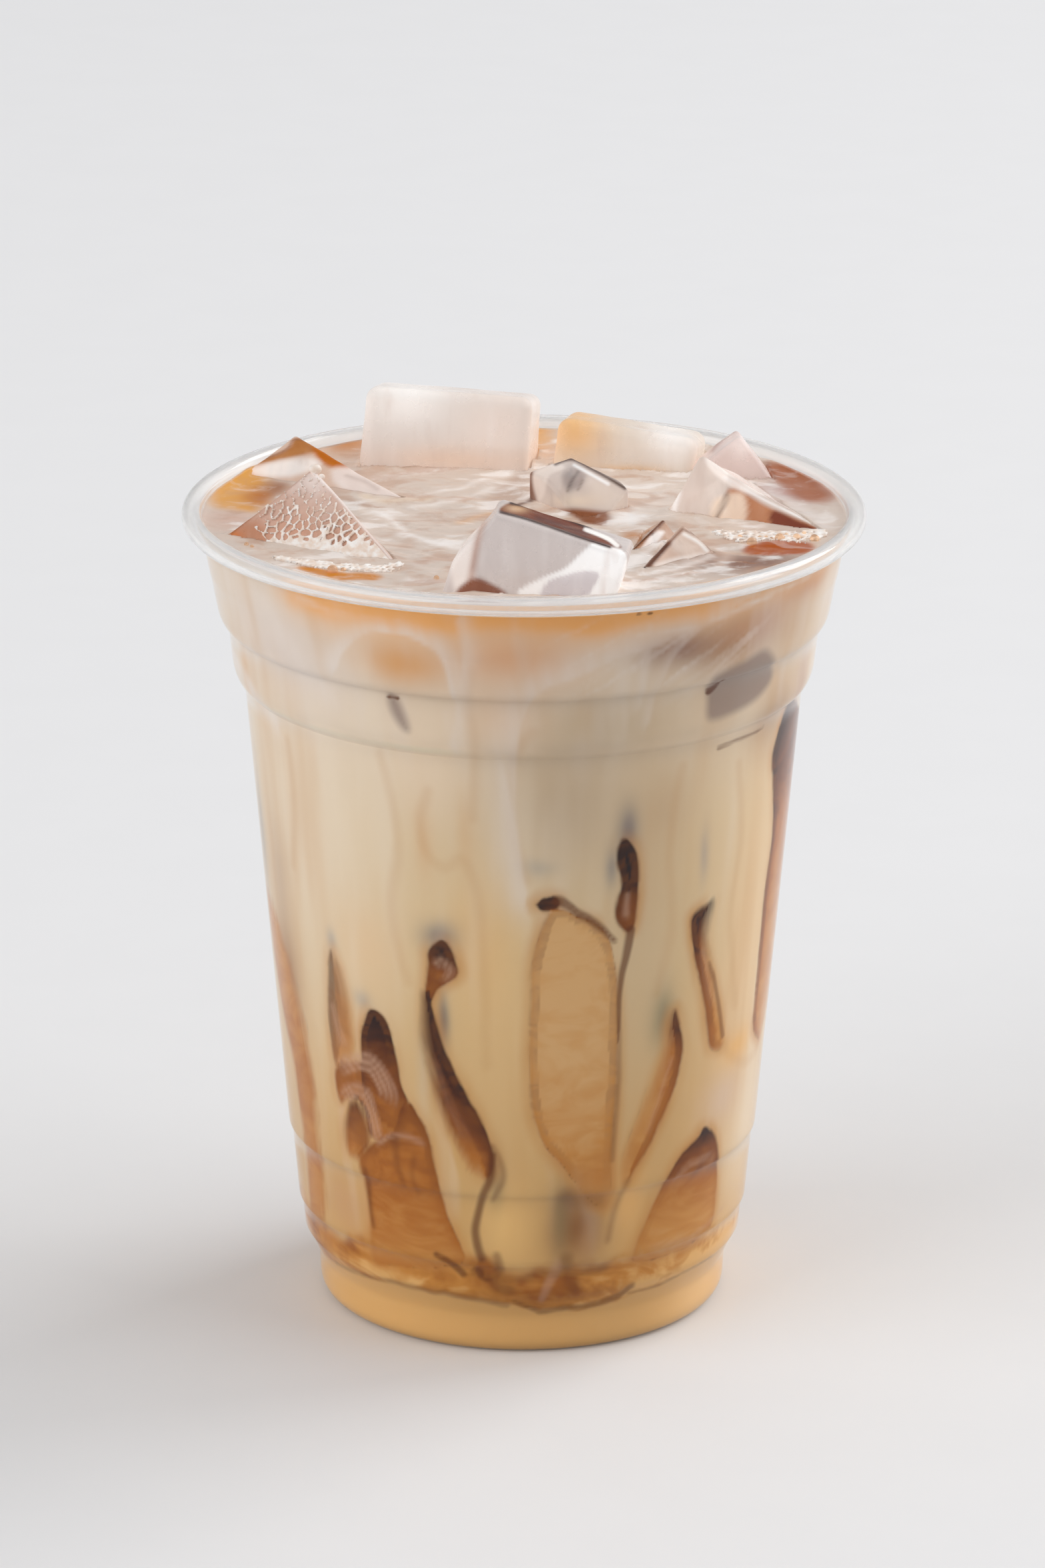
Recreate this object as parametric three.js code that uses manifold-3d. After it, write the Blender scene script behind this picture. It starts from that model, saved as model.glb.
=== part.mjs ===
// Iced latte in a clear plastic cup. The cup is one thin sheet turned about +Z: a raised base, a foot
// ring, a tapered wall with two stacking shoulders and a rim curled outwards. The drink fills it nearly
// to the brim, and ten lumps of ice stand out of the drink. Millimetres, +Z up, origin under the foot.
import * as THREE from 'three';
import { RoundedBoxGeometry } from 'three/addons/geometries/RoundedBoxGeometry.js';
import { mergeVertices } from 'three/addons/utils/BufferGeometryUtils.js';
import Module from 'manifold-3d';

const wasm = await Module();
wasm.setup();

// Driving dimensions
const turns = 48; // facets round the cup
const sheet = 0.6; // wall thickness of the cup
const gap = 0.3; // clearance between neighbouring solids
const curveSteps = 4; // facets along a rounded stretch of the profile
const knee = 0.3; // how far a shoulder's bend keeps from its corner

const foot = { innerRadius: 24.4, outerRadius: 26.9, recess: 1.6, slope: 1.4 };
const baseBand = { radius: 29.6, bottom: 2.4, top: 5.8, flare: 0.15 };
const body = { bottom: 10.3, bottomRadius: 31.85, top: 93.3, topRadius: 40.05 };
const lowerStep = { z: 14.4, depth: 0.45, height: 0.9 };
const upperStep = { z: 25.6, depth: 0.4, height: 0.9 };
const lowShoulder = { radius: 41.75, z: 96.6, topRadius: 42.35, top: 102.1 };
const highShoulder = { radius: 43.9, z: 104.6, topRadius: 44.93, top: 110.4 };
const rim = { beadRadius: 1.45, radius: 48.75, top: 118.8, wrap: 1.62 * Math.PI, steps: 11 };
const drinkLevel = 116.5;
const ice = { edgeRadius: 0.8, edgeSteps: 1 };

// The outside of the cup's sheet, from the axis to the end of the curl
function cupPath() {
  const stepTaper = lowerStep.depth + upperStep.depth;
  const taper = (body.topRadius - body.bottomRadius - stepTaper) / (body.top - body.bottom);
  const wallAt = (z, stepsPassed) => body.bottomRadius + taper * (z - body.bottom) + stepsPassed;
  const beadCentre = new THREE.Vector2(rim.radius - rim.beadRadius, rim.top - rim.beadRadius);
  const curlRadius = rim.beadRadius - sheet;
  const path = new THREE.Path();
  path.moveTo(0, foot.recess);
  path.lineTo(foot.innerRadius - foot.slope, foot.recess);
  path.lineTo(foot.innerRadius, 0);
  path.lineTo(foot.outerRadius, 0);
  path.quadraticCurveTo(baseBand.radius - baseBand.flare, 0, baseBand.radius, baseBand.bottom);
  path.lineTo(baseBand.radius + baseBand.flare, baseBand.top);
  path.lineTo(body.bottomRadius, body.bottom);
  path.lineTo(wallAt(lowerStep.z, 0), lowerStep.z);
  path.lineTo(wallAt(lowerStep.z + lowerStep.height, lowerStep.depth), lowerStep.z + lowerStep.height);
  path.lineTo(wallAt(upperStep.z, lowerStep.depth), upperStep.z);
  path.lineTo(wallAt(upperStep.z + upperStep.height, stepTaper), upperStep.z + upperStep.height);
  path.lineTo(body.topRadius, body.top);
  path.quadraticCurveTo(lowShoulder.radius - knee, body.top + knee, lowShoulder.radius, lowShoulder.z);
  path.lineTo(lowShoulder.topRadius, lowShoulder.top);
  const step = { radius: highShoulder.radius - knee, z: lowShoulder.top + knee };
  path.quadraticCurveTo(step.radius, step.z, highShoulder.radius, highShoulder.z);
  path.lineTo(highShoulder.topRadius, highShoulder.top);
  const points = path.getPoints(curveSteps);
  for (let i = 0; i <= rim.steps; i++) {
    const angle = Math.PI - (rim.wrap * i) / rim.steps;
    const onCurl = new THREE.Vector2(Math.cos(angle), Math.sin(angle)).multiplyScalar(curlRadius);
    points.push(onCurl.add(beadCentre));
  }
  return points;
}

// The same path moved sideways, towards the inside of the cup
function offsetPath(points, distance) {
  return points.map((point, i) => {
    const before = points[Math.max(i - 1, 0)];
    const after = points[Math.min(i + 1, points.length - 1)];
    const into = point.clone().sub(before).normalize();
    const out = after.clone().sub(point).normalize();
    const along = into.clone().add(out).normalize();
    const stretch = 1 / Math.max(along.dot(i ? into : out), 0.5);
    const moved = new THREE.Vector2(-along.y, along.x).multiplyScalar(distance * stretch).add(point);
    return i === 0 ? moved.setX(0) : moved;
  });
}

// The wall of the cup's hollow up to a level, kept clear of the sheet
function hollowWall(clearance, level) {
  const wall = offsetPath(cupPath(), sheet + clearance);
  const end = wall.findIndex((point) => point.y > level);
  const below = wall[end - 1];
  const share = (level - below.y) / (wall[end].y - below.y);
  return [...wall.slice(0, end), below.clone().lerp(wall[end], share)];
}

function turned(profile) {
  return new THREE.LatheGeometry(profile, turns).rotateX(Math.PI / 2);
}

function toSolid(geometry) {
  const bare = geometry.clone();
  bare.deleteAttribute('normal');
  bare.deleteAttribute('uv');
  const merged = mergeVertices(bare, 1e-4);
  const vertProperties = new Float32Array(merged.attributes.position.array);
  const corners = Array.from(merged.index.array);
  const whole = [];
  for (let i = 0; i < corners.length; i += 3) {
    const [a, b, c] = corners.slice(i, i + 3);
    if (a !== b && b !== c && c !== a) whole.push(a, b, c);
  }
  return new wasm.Manifold(new wasm.Mesh({ numProp: 3, vertProperties, triVerts: new Uint32Array(whole) }));
}

function toGeometry(solid) {
  const mesh = solid.getMesh();
  const geometry = new THREE.BufferGeometry();
  geometry.setAttribute('position', new THREE.BufferAttribute(mesh.vertProperties, 3));
  geometry.setIndex(new THREE.BufferAttribute(mesh.triVerts, 1));
  geometry.computeVertexNormals();
  return geometry;
}

// Ice that stands out of the drink, the largest and foremost first: each lump is a box with worn edges,
// given by its size, its centre and its turn about X, then Y, then Z in degrees
const lumps = [
  { name: 'ice_front', size: [19.5, 11, 20], centre: [2.8, -33.7, 115.2], turn: [-6.9, 15.6, -6.6] },
  { name: 'ice_front_left', size: [24, 18, 19], centre: [-27.4, -11.3, 109], turn: [-141, 23.5, -54.5] },
  { name: 'ice_back_left', size: [25, 13, 24], centre: [-11, 31.6, 114.6], turn: [-11.5, 2, -8] },
  { name: 'ice_back_right', size: [21, 12, 20], centre: [14.6, 30.6, 111.8], turn: [-9, 6.5, -11] },
  { name: 'ice_right', size: [23, 19, 17], centre: [32.3, 4.1, 108.9], turn: [-117, 20.5, -35] },
  { name: 'ice_centre', size: [13, 8.5, 14], centre: [7.9, 7.5, 113.8], turn: [5.3, 5.9, -48.4] },
  { name: 'ice_left_back', size: [26, 16, 17], centre: [-28.9, 17.4, 108], turn: [-154.5, 10, -48.5] },
  { name: 'ice_right_back', size: [9, 8, 9], centre: [30.4, 24.2, 116.2], turn: [-10, 52, -6] },
  { name: 'ice_shard_right', size: [12, 13, 11], centre: [21, -20, 110.8], turn: [-154.5, 41.5, -14] },
  { name: 'ice_shard_left', size: [8, 12, 10], centre: [16.4, -12.3, 111.9], turn: [-155.5, 50, -12] },
];

function lumpSolid(lump, growth) {
  const [width, height, depth] = lump.size.map((side) => side + 2 * growth);
  const radius = ice.edgeRadius + growth;
  const box = new RoundedBoxGeometry(width, height, depth, ice.edgeSteps, radius);
  const angles = lump.turn.map(THREE.MathUtils.degToRad);
  const turn = new THREE.Quaternion().setFromEuler(new THREE.Euler(...angles, 'ZYX'));
  const place = new THREE.Matrix4().compose(
    new THREE.Vector3(...lump.centre),
    turn,
    new THREE.Vector3(1, 1, 1),
  );
  return toSolid(box.applyMatrix4(place));
}

const clearPlastic = new THREE.MeshStandardMaterial({
  color: 0xf2f4f5,
  roughness: 0.08,
  metalness: 0,
  transparent: true,
  opacity: 0.25,
});
const milkyCoffee = new THREE.MeshStandardMaterial({ color: 0xd9b595, roughness: 0.25, metalness: 0 });
const frostedIce = new THREE.MeshStandardMaterial({
  color: 0xe6dcd8,
  roughness: 0.2,
  metalness: 0,
  transparent: true,
  opacity: 0.6,
});

const latte = new THREE.Group();
function add(name, geometry, material) {
  const mesh = new THREE.Mesh(geometry, material);
  mesh.name = name;
  latte.add(mesh);
}

// Cup: out along the outside of the sheet, round the end of the curl and back along the inside
const outside = cupPath();
const inside = offsetPath(outside, sheet);
add('cup', turned([...outside, ...inside.reverse()]), clearPlastic);

// Each lump keeps clear of the cup and of the lumps placed before it, and the drink is cut round all
const around = [
  ...hollowWall(2 * gap, rim.top + gap),
  new THREE.Vector2(2 * rim.radius, rim.top + gap),
  new THREE.Vector2(2 * rim.radius, 0),
  new THREE.Vector2(0, 0),
];
let drink = toSolid(turned([...hollowWall(gap, drinkLevel), new THREE.Vector2(0, drinkLevel)]));
const placed = [toSolid(turned(around.reverse()))];
for (const lump of lumps) {
  let solid = lumpSolid(lump, 0);
  for (const earlier of placed) solid = solid.subtract(earlier);
  const grown = lumpSolid(lump, gap);
  drink = drink.subtract(grown);
  placed.push(grown);
  add(lump.name, toGeometry(solid), frostedIce);
}
add('drink', toGeometry(drink), milkyCoffee);

export default latte;
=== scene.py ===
import math

import bmesh
import bpy
import numpy as np
from mathutils import Euler, Matrix, Vector, noise


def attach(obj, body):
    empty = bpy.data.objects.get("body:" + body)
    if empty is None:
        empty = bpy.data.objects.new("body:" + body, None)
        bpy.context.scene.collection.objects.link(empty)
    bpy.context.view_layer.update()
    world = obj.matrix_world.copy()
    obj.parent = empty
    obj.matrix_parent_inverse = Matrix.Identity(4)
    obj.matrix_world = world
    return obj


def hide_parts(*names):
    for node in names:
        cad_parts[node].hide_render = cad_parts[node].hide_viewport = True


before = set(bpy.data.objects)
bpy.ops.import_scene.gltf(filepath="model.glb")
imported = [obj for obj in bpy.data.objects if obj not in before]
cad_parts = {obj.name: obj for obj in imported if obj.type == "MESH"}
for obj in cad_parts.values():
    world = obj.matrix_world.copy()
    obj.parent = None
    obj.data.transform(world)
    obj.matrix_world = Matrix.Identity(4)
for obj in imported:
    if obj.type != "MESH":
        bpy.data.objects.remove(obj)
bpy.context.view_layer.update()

mm = 0.001
scene = bpy.context.scene
print("frame:", len(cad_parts), "nodes")


# small helpers

def srgb(red, green, blue):
    parts = [c / 255 for c in (red, green, blue)]
    return tuple(c / 12.92 if c < 0.04045 else ((c + 0.055) / 1.055) ** 2.4 for c in parts) + (1.0,)


def smoothStep(low, high, value):
    t = np.clip((value - low) / (high - low), 0, 1)
    return t * t * (3 - 2 * t)


grainCells = 256  # cells of noise before it repeats
noiseShift = 40  # keeps the noise of a flat surface clear of where it repeats


def grain(u, v, seed, wrap=grainCells):
    # value noise from -1 to 1, repeating along u every wrap cells
    cells = np.random.default_rng(seed).uniform(-1, 1, (wrap, grainCells))
    iu, iv = np.floor(u).astype(int), np.floor(v).astype(int)
    fu, fv = u - iu, v - iv
    fu, fv = fu * fu * (3 - 2 * fu), fv * fv * (3 - 2 * fv)
    left, right = iu % wrap, (iu + 1) % wrap
    below, above = iv % grainCells, (iv + 1) % grainCells
    low = cells[left, below] * (1 - fu) + cells[right, below] * fu
    high = cells[left, above] * (1 - fu) + cells[right, above] * fu
    return low * (1 - fv) + high * fv


def layers(u, v, seed, wrap=grainCells):
    # three layers of that noise, each finer and fainter
    total, share = 0, 0.6
    for k in range(3):
        total = total + share * grain(u * 2**k, v * 2**k, seed + k, wrap * 2**k)
        share *= 0.5
    return total


def flatNoise(x, y, size, seed):
    return layers(x / size + noiseShift, y / size + noiseShift, seed)


def wallNoise(angle, height, wide, tall, seed):
    # noise round the wall, in patches of some degrees by some millimetres
    wrap = round(360 / wide)
    return layers(angle / wide + wrap, height / tall, seed, wrap)


def turnedMesh(profile, turn):
    # rings round the axis, closed by a pole at each end of the profile
    columns = len(turn)
    rings = np.array(profile[1:-1], float)
    x = rings[:, :1] * np.sin(turn)
    y = -rings[:, :1] * np.cos(turn)
    z = np.repeat(rings[:, 1:], columns, axis=1)
    verts = np.stack([x, y, z], -1).reshape(-1, 3)
    verts = np.vstack([[0, 0, profile[0][1]], verts, [0, 0, profile[-1][1]]])
    start = 1 + np.arange(columns)
    after = 1 + (np.arange(columns) + 1) % columns
    steps = columns * np.arange(len(rings) - 1)[:, None]
    quads = np.stack([start + steps, after + steps, after + steps + columns, start + steps + columns], -1)
    last = columns * (len(rings) - 1)
    top = len(verts) - 1
    faces = quads.reshape(-1, 4).tolist()
    faces += [(0, int(b), int(a)) for a, b in zip(start, after)]
    faces += [(top, int(a) + last, int(b) + last) for a, b in zip(start, after)]
    return verts, faces


def addPiece(name, verts, faces, material, slot):
    mesh = bpy.data.meshes.new(name)
    mesh.from_pydata((np.asarray(verts) * mm).tolist(), [], faces)
    mesh.polygons.foreach_set("use_smooth", [True] * len(mesh.polygons))
    mesh.materials.append(material)
    mesh.update()
    piece = bpy.data.objects.new(name, mesh)
    scene.collection.objects.link(piece)
    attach(piece, "root")
    return piece


def setField(piece, name, values):
    values = np.asarray(values, np.float32)
    tinted = values.ndim == 2
    layer = piece.data.attributes.new(name, "FLOAT_COLOR" if tinted else "FLOAT", "POINT")
    if tinted:
        values = np.hstack([values[:, :3], np.ones((len(values), 1), np.float32)])
    layer.data.foreach_set("color" if tinted else "value", values.ravel())


# small helpers for shader nodes

def place(tree, kind, inputs=None, **settings):
    node = tree.nodes.new(kind)
    for key, value in settings.items():
        setattr(node, key, value)
    for key, value in (inputs or {}).items():
        if isinstance(value, bpy.types.NodeSocket):
            tree.links.new(value, node.inputs[key])
        else:
            node.inputs[key].default_value = value
    return node


def newMaterial(name):
    material = bpy.data.materials.new(name)
    material.use_nodes = True
    material.node_tree.nodes.clear()
    return material, material.node_tree


def newGroup(name, inputs, outputs):
    tree = bpy.data.node_groups.new(name, "ShaderNodeTree")
    for way, sockets in (("INPUT", inputs), ("OUTPUT", outputs)):
        for label, kind in sockets:
            tree.interface.new_socket(label, in_out=way, socket_type="NodeSocket" + kind)
    return tree, place(tree, "NodeGroupInput"), place(tree, "NodeGroupOutput")


def field(tree, name, output="Fac"):
    return place(tree, "ShaderNodeAttribute", attribute_name=name).outputs[output]


def ranged(tree, value, low, high, bottom=0.0, top=1.0):
    inputs = {"Value": value, "From Min": low, "From Max": high, "To Min": bottom, "To Max": top}
    return place(tree, "ShaderNodeMapRange", inputs, interpolation_type="SMOOTHSTEP").outputs[0]


def sums(tree, operation, a, b):
    return place(tree, "ShaderNodeMath", {0: a, 1: b}, operation=operation).outputs[0]


def mixed(tree, factor, a, b):
    inputs = {0: factor, 6: a, 7: b}  # the node's sockets for colours
    return place(tree, "ShaderNodeMix", inputs, data_type="RGBA").outputs[2]


def ramp(tree, factor, stops):
    node = place(tree, "ShaderNodeValToRGB", {"Fac": factor})
    points = node.color_ramp.elements
    while len(points) < len(stops):
        points.new(1.0)
    for point, (position, colour) in zip(points, stops):
        point.position = position
        point.color = colour
    return node.outputs["Color"]


def cloud(tree, scale, detail=3.0, roughness=0.5, distortion=0.0, stretch=(1, 1, 1)):
    spot = place(tree, "ShaderNodeTexCoord").outputs["Object"]
    inputs = {
        "Vector": place(tree, "ShaderNodeMapping", {"Vector": spot, "Scale": stretch}).outputs[0],
        "Scale": scale,
        "Detail": detail,
        "Roughness": roughness,
        "Distortion": distortion,
    }
    return place(tree, "ShaderNodeTexNoise", inputs).outputs["Fac"]


def bump(tree, height, strength, distance):
    inputs = {"Height": height, "Strength": strength, "Distance": distance}
    return place(tree, "ShaderNodeBump", inputs).outputs["Normal"]


def opaque(tree, inputs):
    shader = place(tree, "ShaderNodeBsdfPrincipled", inputs)
    place(tree, "ShaderNodeOutputMaterial", {"Surface": shader.outputs[0]})


def seeThrough(tree, inputs, tint):
    # lamps reach what is behind clear plastic, ice and bubbles
    shader = place(tree, "ShaderNodeBsdfPrincipled", inputs).outputs[0]
    lamp = place(tree, "ShaderNodeLightPath").outputs["Is Shadow Ray"]
    through = place(tree, "ShaderNodeBsdfTransparent", {"Color": tint}).outputs[0]
    mix = place(tree, "ShaderNodeMixShader", {0: lamp, 1: shader, 2: through})
    place(tree, "ShaderNodeOutputMaterial", {"Surface": mix.outputs[0]})


# camera, floor and soft studio light

stage = {
    "eye": (-0.0001, -1.0, 0.403),
    "pitch": 18.08,  # degrees down
    "roll": 0.177,
    "lens": 167.54,
    "sensor": 36,
    "nearest": 0.01,
    "floorSize": 8.0,
    "floorColour": srgb(238, 238, 239),
    "speckColour": (0.7, 0.7, 0.7, 1),
    "sky": (0.47, 0.47, 0.475, 1.0),
    "lamps": [  # name, place, aim, width, watts
        ("keyLamp", (1.8, 1.1, 1.8), (0, 0, 0.05), 1.5, 30.0),
        ("leftLamp", (-2.6, -1.5, 1.5), (0, 0, 0.06), 3.0, 50.0),
        ("rightLamp", (2.6, -0.6, 1.5), (0, 0, 0.06), 2.0, 24.0),
    ],
    "bounces": 16,
    "clearBounces": 12,
}


def setStage():
    camera = bpy.data.objects.new("camera", bpy.data.cameras.new("camera"))
    camera.data.lens = stage["lens"]
    camera.data.sensor_width = stage["sensor"]
    camera.data.clip_start = stage["nearest"]
    tilt = Matrix.Rotation(math.radians(90 - stage["pitch"]), 4, "X")
    roll = Matrix.Rotation(math.radians(stage["roll"]), 4, "Z")
    camera.matrix_world = Matrix.Translation(stage["eye"]) @ tilt @ roll
    scene.collection.objects.link(camera)
    scene.camera = camera

    half = stage["floorSize"] / 2
    corners = [(-half, -half, 0), (half, -half, 0), (half, half, 0), (-half, half, 0)]
    mesh = bpy.data.meshes.new("floor")
    mesh.from_pydata(corners, [], [(0, 1, 2, 3)])
    material, tree = newMaterial("paleFloor")
    speck = ranged(tree, cloud(tree, 60.0), 0.3, 0.7, 0.0, 0.04)
    colour = mixed(tree, speck, stage["floorColour"], stage["speckColour"])
    opaque(tree, {"Base Color": colour, "Roughness": 0.6})
    mesh.materials.append(material)
    floor = bpy.data.objects.new("floor", mesh)
    scene.collection.objects.link(floor)

    world = bpy.data.worlds.new("studio")
    world.use_nodes = True
    world.node_tree.nodes["Background"].inputs["Color"].default_value = stage["sky"]
    scene.world = world
    for name, spot, aim, width, watts in stage["lamps"]:
        lamp = bpy.data.lights.new(name, "AREA")
        lamp.size = width
        lamp.energy = watts
        holder = bpy.data.objects.new(name, lamp)
        holder.location = spot
        holder.rotation_euler = (Vector(aim) - Vector(spot)).to_track_quat("-Z", "Y").to_euler()
        scene.collection.objects.link(holder)
    scene.view_settings.view_transform = "Standard"
    scene.cycles.max_bounces = stage["bounces"]
    scene.cycles.transmission_bounces = stage["clearBounces"]
    scene.cycles.transparent_max_bounces = stage["bounces"]


setStage()
print("stage set")


# clear plastic cup, one thin sheet turned about the axis, sizes in millimetres

cupShape = {
    "columns": 216,
    "rowStep": 3.0,
    "sheet": 0.6,
    "clearance": 0.3,  # between the sheet and the ice
    "footInner": 24.4,
    "footOuter": 26.9,
    "recess": 1.6,
    "footSlope": 1.4,
    "bandRadius": 29.6,
    "bandBottom": 2.4,
    "bandTop": 5.8,
    "bandFlare": 0.15,
    "bandBend": (0.9, 8.0),  # how far outside the band, and at what height
    "bodyBottom": (31.85, 10.3),
    "bodyTop": (40.05, 93.3),
    "steps": [(14.4, 0.45), (25.6, 0.4)],  # height, depth
    "stepHeight": 0.9,
    "stepBend": 0.2,
    "lowShoulder": [(41.4, 93.7), (41.75, 96.6), (42.35, 102.1)],
    "highShoulder": [(43.55, 102.5), (43.9, 104.6), (44.93, 110.4)],
    "ringLine": (109.6, 0.12),  # height, depth
    "ringRise": 0.3,
    "rimRadius": 48.75,
    "rimTop": 118.8,
    "beadRadius": 1.45,
    "beadFoot": 115.4,
    "curl": 1.62 * math.pi,
    "curlPoints": 40,
    "wallPart": slice(4, -30),  # the points of the path between the raised base and the curl
}


def bend(start, control, end, count):
    t = np.linspace(0, 1, count + 1)[1:, None]
    start, control, end = (np.array(p, float) for p in (start, control, end))
    return (1 - t) ** 2 * start + 2 * t * (1 - t) * control + t**2 * end


def cupPath():
    # outside of the sheet from the axis to the end of the curl
    c = cupShape
    foot = [(0, c["recess"]), (c["footInner"] - c["footSlope"], c["recess"]), (c["footInner"], 0)]
    points = [np.array(foot), np.array([(c["footOuter"], 0)])]
    bandLow = (c["bandRadius"], c["bandBottom"])
    points.append(bend((c["footOuter"], 0), (c["bandRadius"] - c["bandFlare"], 0), bandLow, 8))
    bandHigh = (c["bandRadius"] + c["bandFlare"], c["bandTop"])
    points.append(np.array([bandHigh]))
    bendOut, bendHeight = c["bandBend"]
    points.append(bend(bandHigh, (c["bandRadius"] + bendOut, bendHeight), c["bodyBottom"], 6))
    taper = c["bodyTop"][0] - c["bodyBottom"][0] - sum(depth for _, depth in c["steps"])
    taper /= c["bodyTop"][1] - c["bodyBottom"][1]
    passed = 0.0
    for height, depth in c["steps"]:
        low = (c["bodyBottom"][0] + taper * (height - c["bodyBottom"][1]) + passed, height)
        passed += depth
        high = (low[0] + depth + taper * c["stepHeight"], height + c["stepHeight"])
        points += [np.array([low]), bend(low, (high[0], low[1] + c["stepBend"]), high, 4)]
    points.append(np.array([c["bodyTop"]]))
    knee, belly, top = c["lowShoulder"]
    points += [bend(c["bodyTop"], knee, belly, 8), np.array([top])]
    knee, belly, brow = c["highShoulder"]
    ringHeight, ringDepth = c["ringLine"]
    points.append(bend(top, knee, belly, 8))
    slope = (brow[0] - belly[0]) / (brow[1] - belly[1])
    ringRadius = belly[0] + slope * (ringHeight - belly[1])
    ring = [(ringRadius, ringHeight - c["ringRise"]), (ringRadius + ringDepth, ringHeight)]
    points.append(np.array([*ring, (brow[0] + ringDepth, brow[1])]))
    around = math.pi - np.linspace(0, c["curl"], c["curlPoints"])
    curlRadius = c["beadRadius"] - c["sheet"]
    centre = np.array([c["rimRadius"] - c["beadRadius"], c["rimTop"] - c["beadRadius"]])
    points.append(centre + curlRadius * np.stack([np.cos(around), np.sin(around)], -1))
    return np.vstack(points)


def offsetPath(points, distance):
    # the same path moved sideways, towards the inside of the cup
    into = np.diff(points, axis=0, prepend=points[:1])
    out = np.diff(points, axis=0, append=points[-1:])
    into[0], out[-1] = out[0], into[-1]
    into /= np.linalg.norm(into, axis=1, keepdims=True)
    out /= np.linalg.norm(out, axis=1, keepdims=True)
    along = into + out
    along /= np.linalg.norm(along, axis=1, keepdims=True)
    stretch = distance / np.maximum((along * into).sum(1), 0.5)
    moved = points + stretch[:, None] * np.stack([-along[:, 1], along[:, 0]], -1)
    moved[0, 0] = 0
    return moved


def refined(points, step):
    # the same path with points no further apart than step
    parts = [points[:1]]
    for a, b in zip(points[:-1], points[1:]):
        count = max(1, int(math.ceil(np.linalg.norm(b - a) / step)))
        parts.append(a + (b - a) * np.linspace(0, 1, count + 1)[1:, None])
    return np.vstack(parts)


def clearPlastic():
    material, tree = newMaterial("clearPlastic")
    sway = cloud(tree, 70.0, 1.0, stretch=(1, 1, 0.35))
    inputs = {
        "Roughness": ranged(tree, cloud(tree, 180.0), 0.35, 0.75, 0.015, 0.05),
        "Normal": bump(tree, sway, 0.25, 0.0004),
        "IOR": 1.33,
        "Transmission Weight": 1.0,
    }
    seeThrough(tree, inputs, (0.97, 0.97, 0.97, 1.0))
    return material


def rimPlastic():
    # the bead looks white: its white diffuse share stands for haze in the plastic and also paints in its
    # bright highlights
    material, tree = newMaterial("rimPlastic")
    inputs = {
        "Base Color": (0.97, 0.965, 0.96, 1.0),
        "Roughness": ranged(tree, cloud(tree, 120.0, 2.0), 0.35, 0.75, 0.08, 0.16),
        "IOR": 1.42,
        "Transmission Weight": 0.78,
    }
    seeThrough(tree, inputs, (0.9, 0.9, 0.9, 1.0))
    return material


def makeCup():
    outside = refined(cupPath(), cupShape["rowStep"])
    inside = offsetPath(outside, cupShape["sheet"])
    profile = np.vstack([outside, inside[::-1]])
    turn = np.linspace(0, 2 * np.pi, cupShape["columns"], endpoint=False)
    verts, faces = turnedMesh(profile.tolist(), turn)
    cup = addPiece("clear_cup", verts, faces, clearPlastic(), "clear_plastic")
    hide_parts("cup")
    cup.data.materials.append(rimPlastic())
    slots = np.zeros(len(faces), int)
    bead = np.repeat(profile[1:-2, 1] > cupShape["beadFoot"], len(turn))
    slots[: len(bead)] = bead
    cup.data.polygons.foreach_set("material_index", slots.tolist())


makeCup()
print("cup made")


# lumps of ice, as boxes with worn edges: size, centre and edge in millimetres, turn in degrees; marks are
# laid over the base colour in order, on a plane that leans as the front view does (x, up); some marks
# are painted highlights, glints, a reflection and shade

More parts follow.
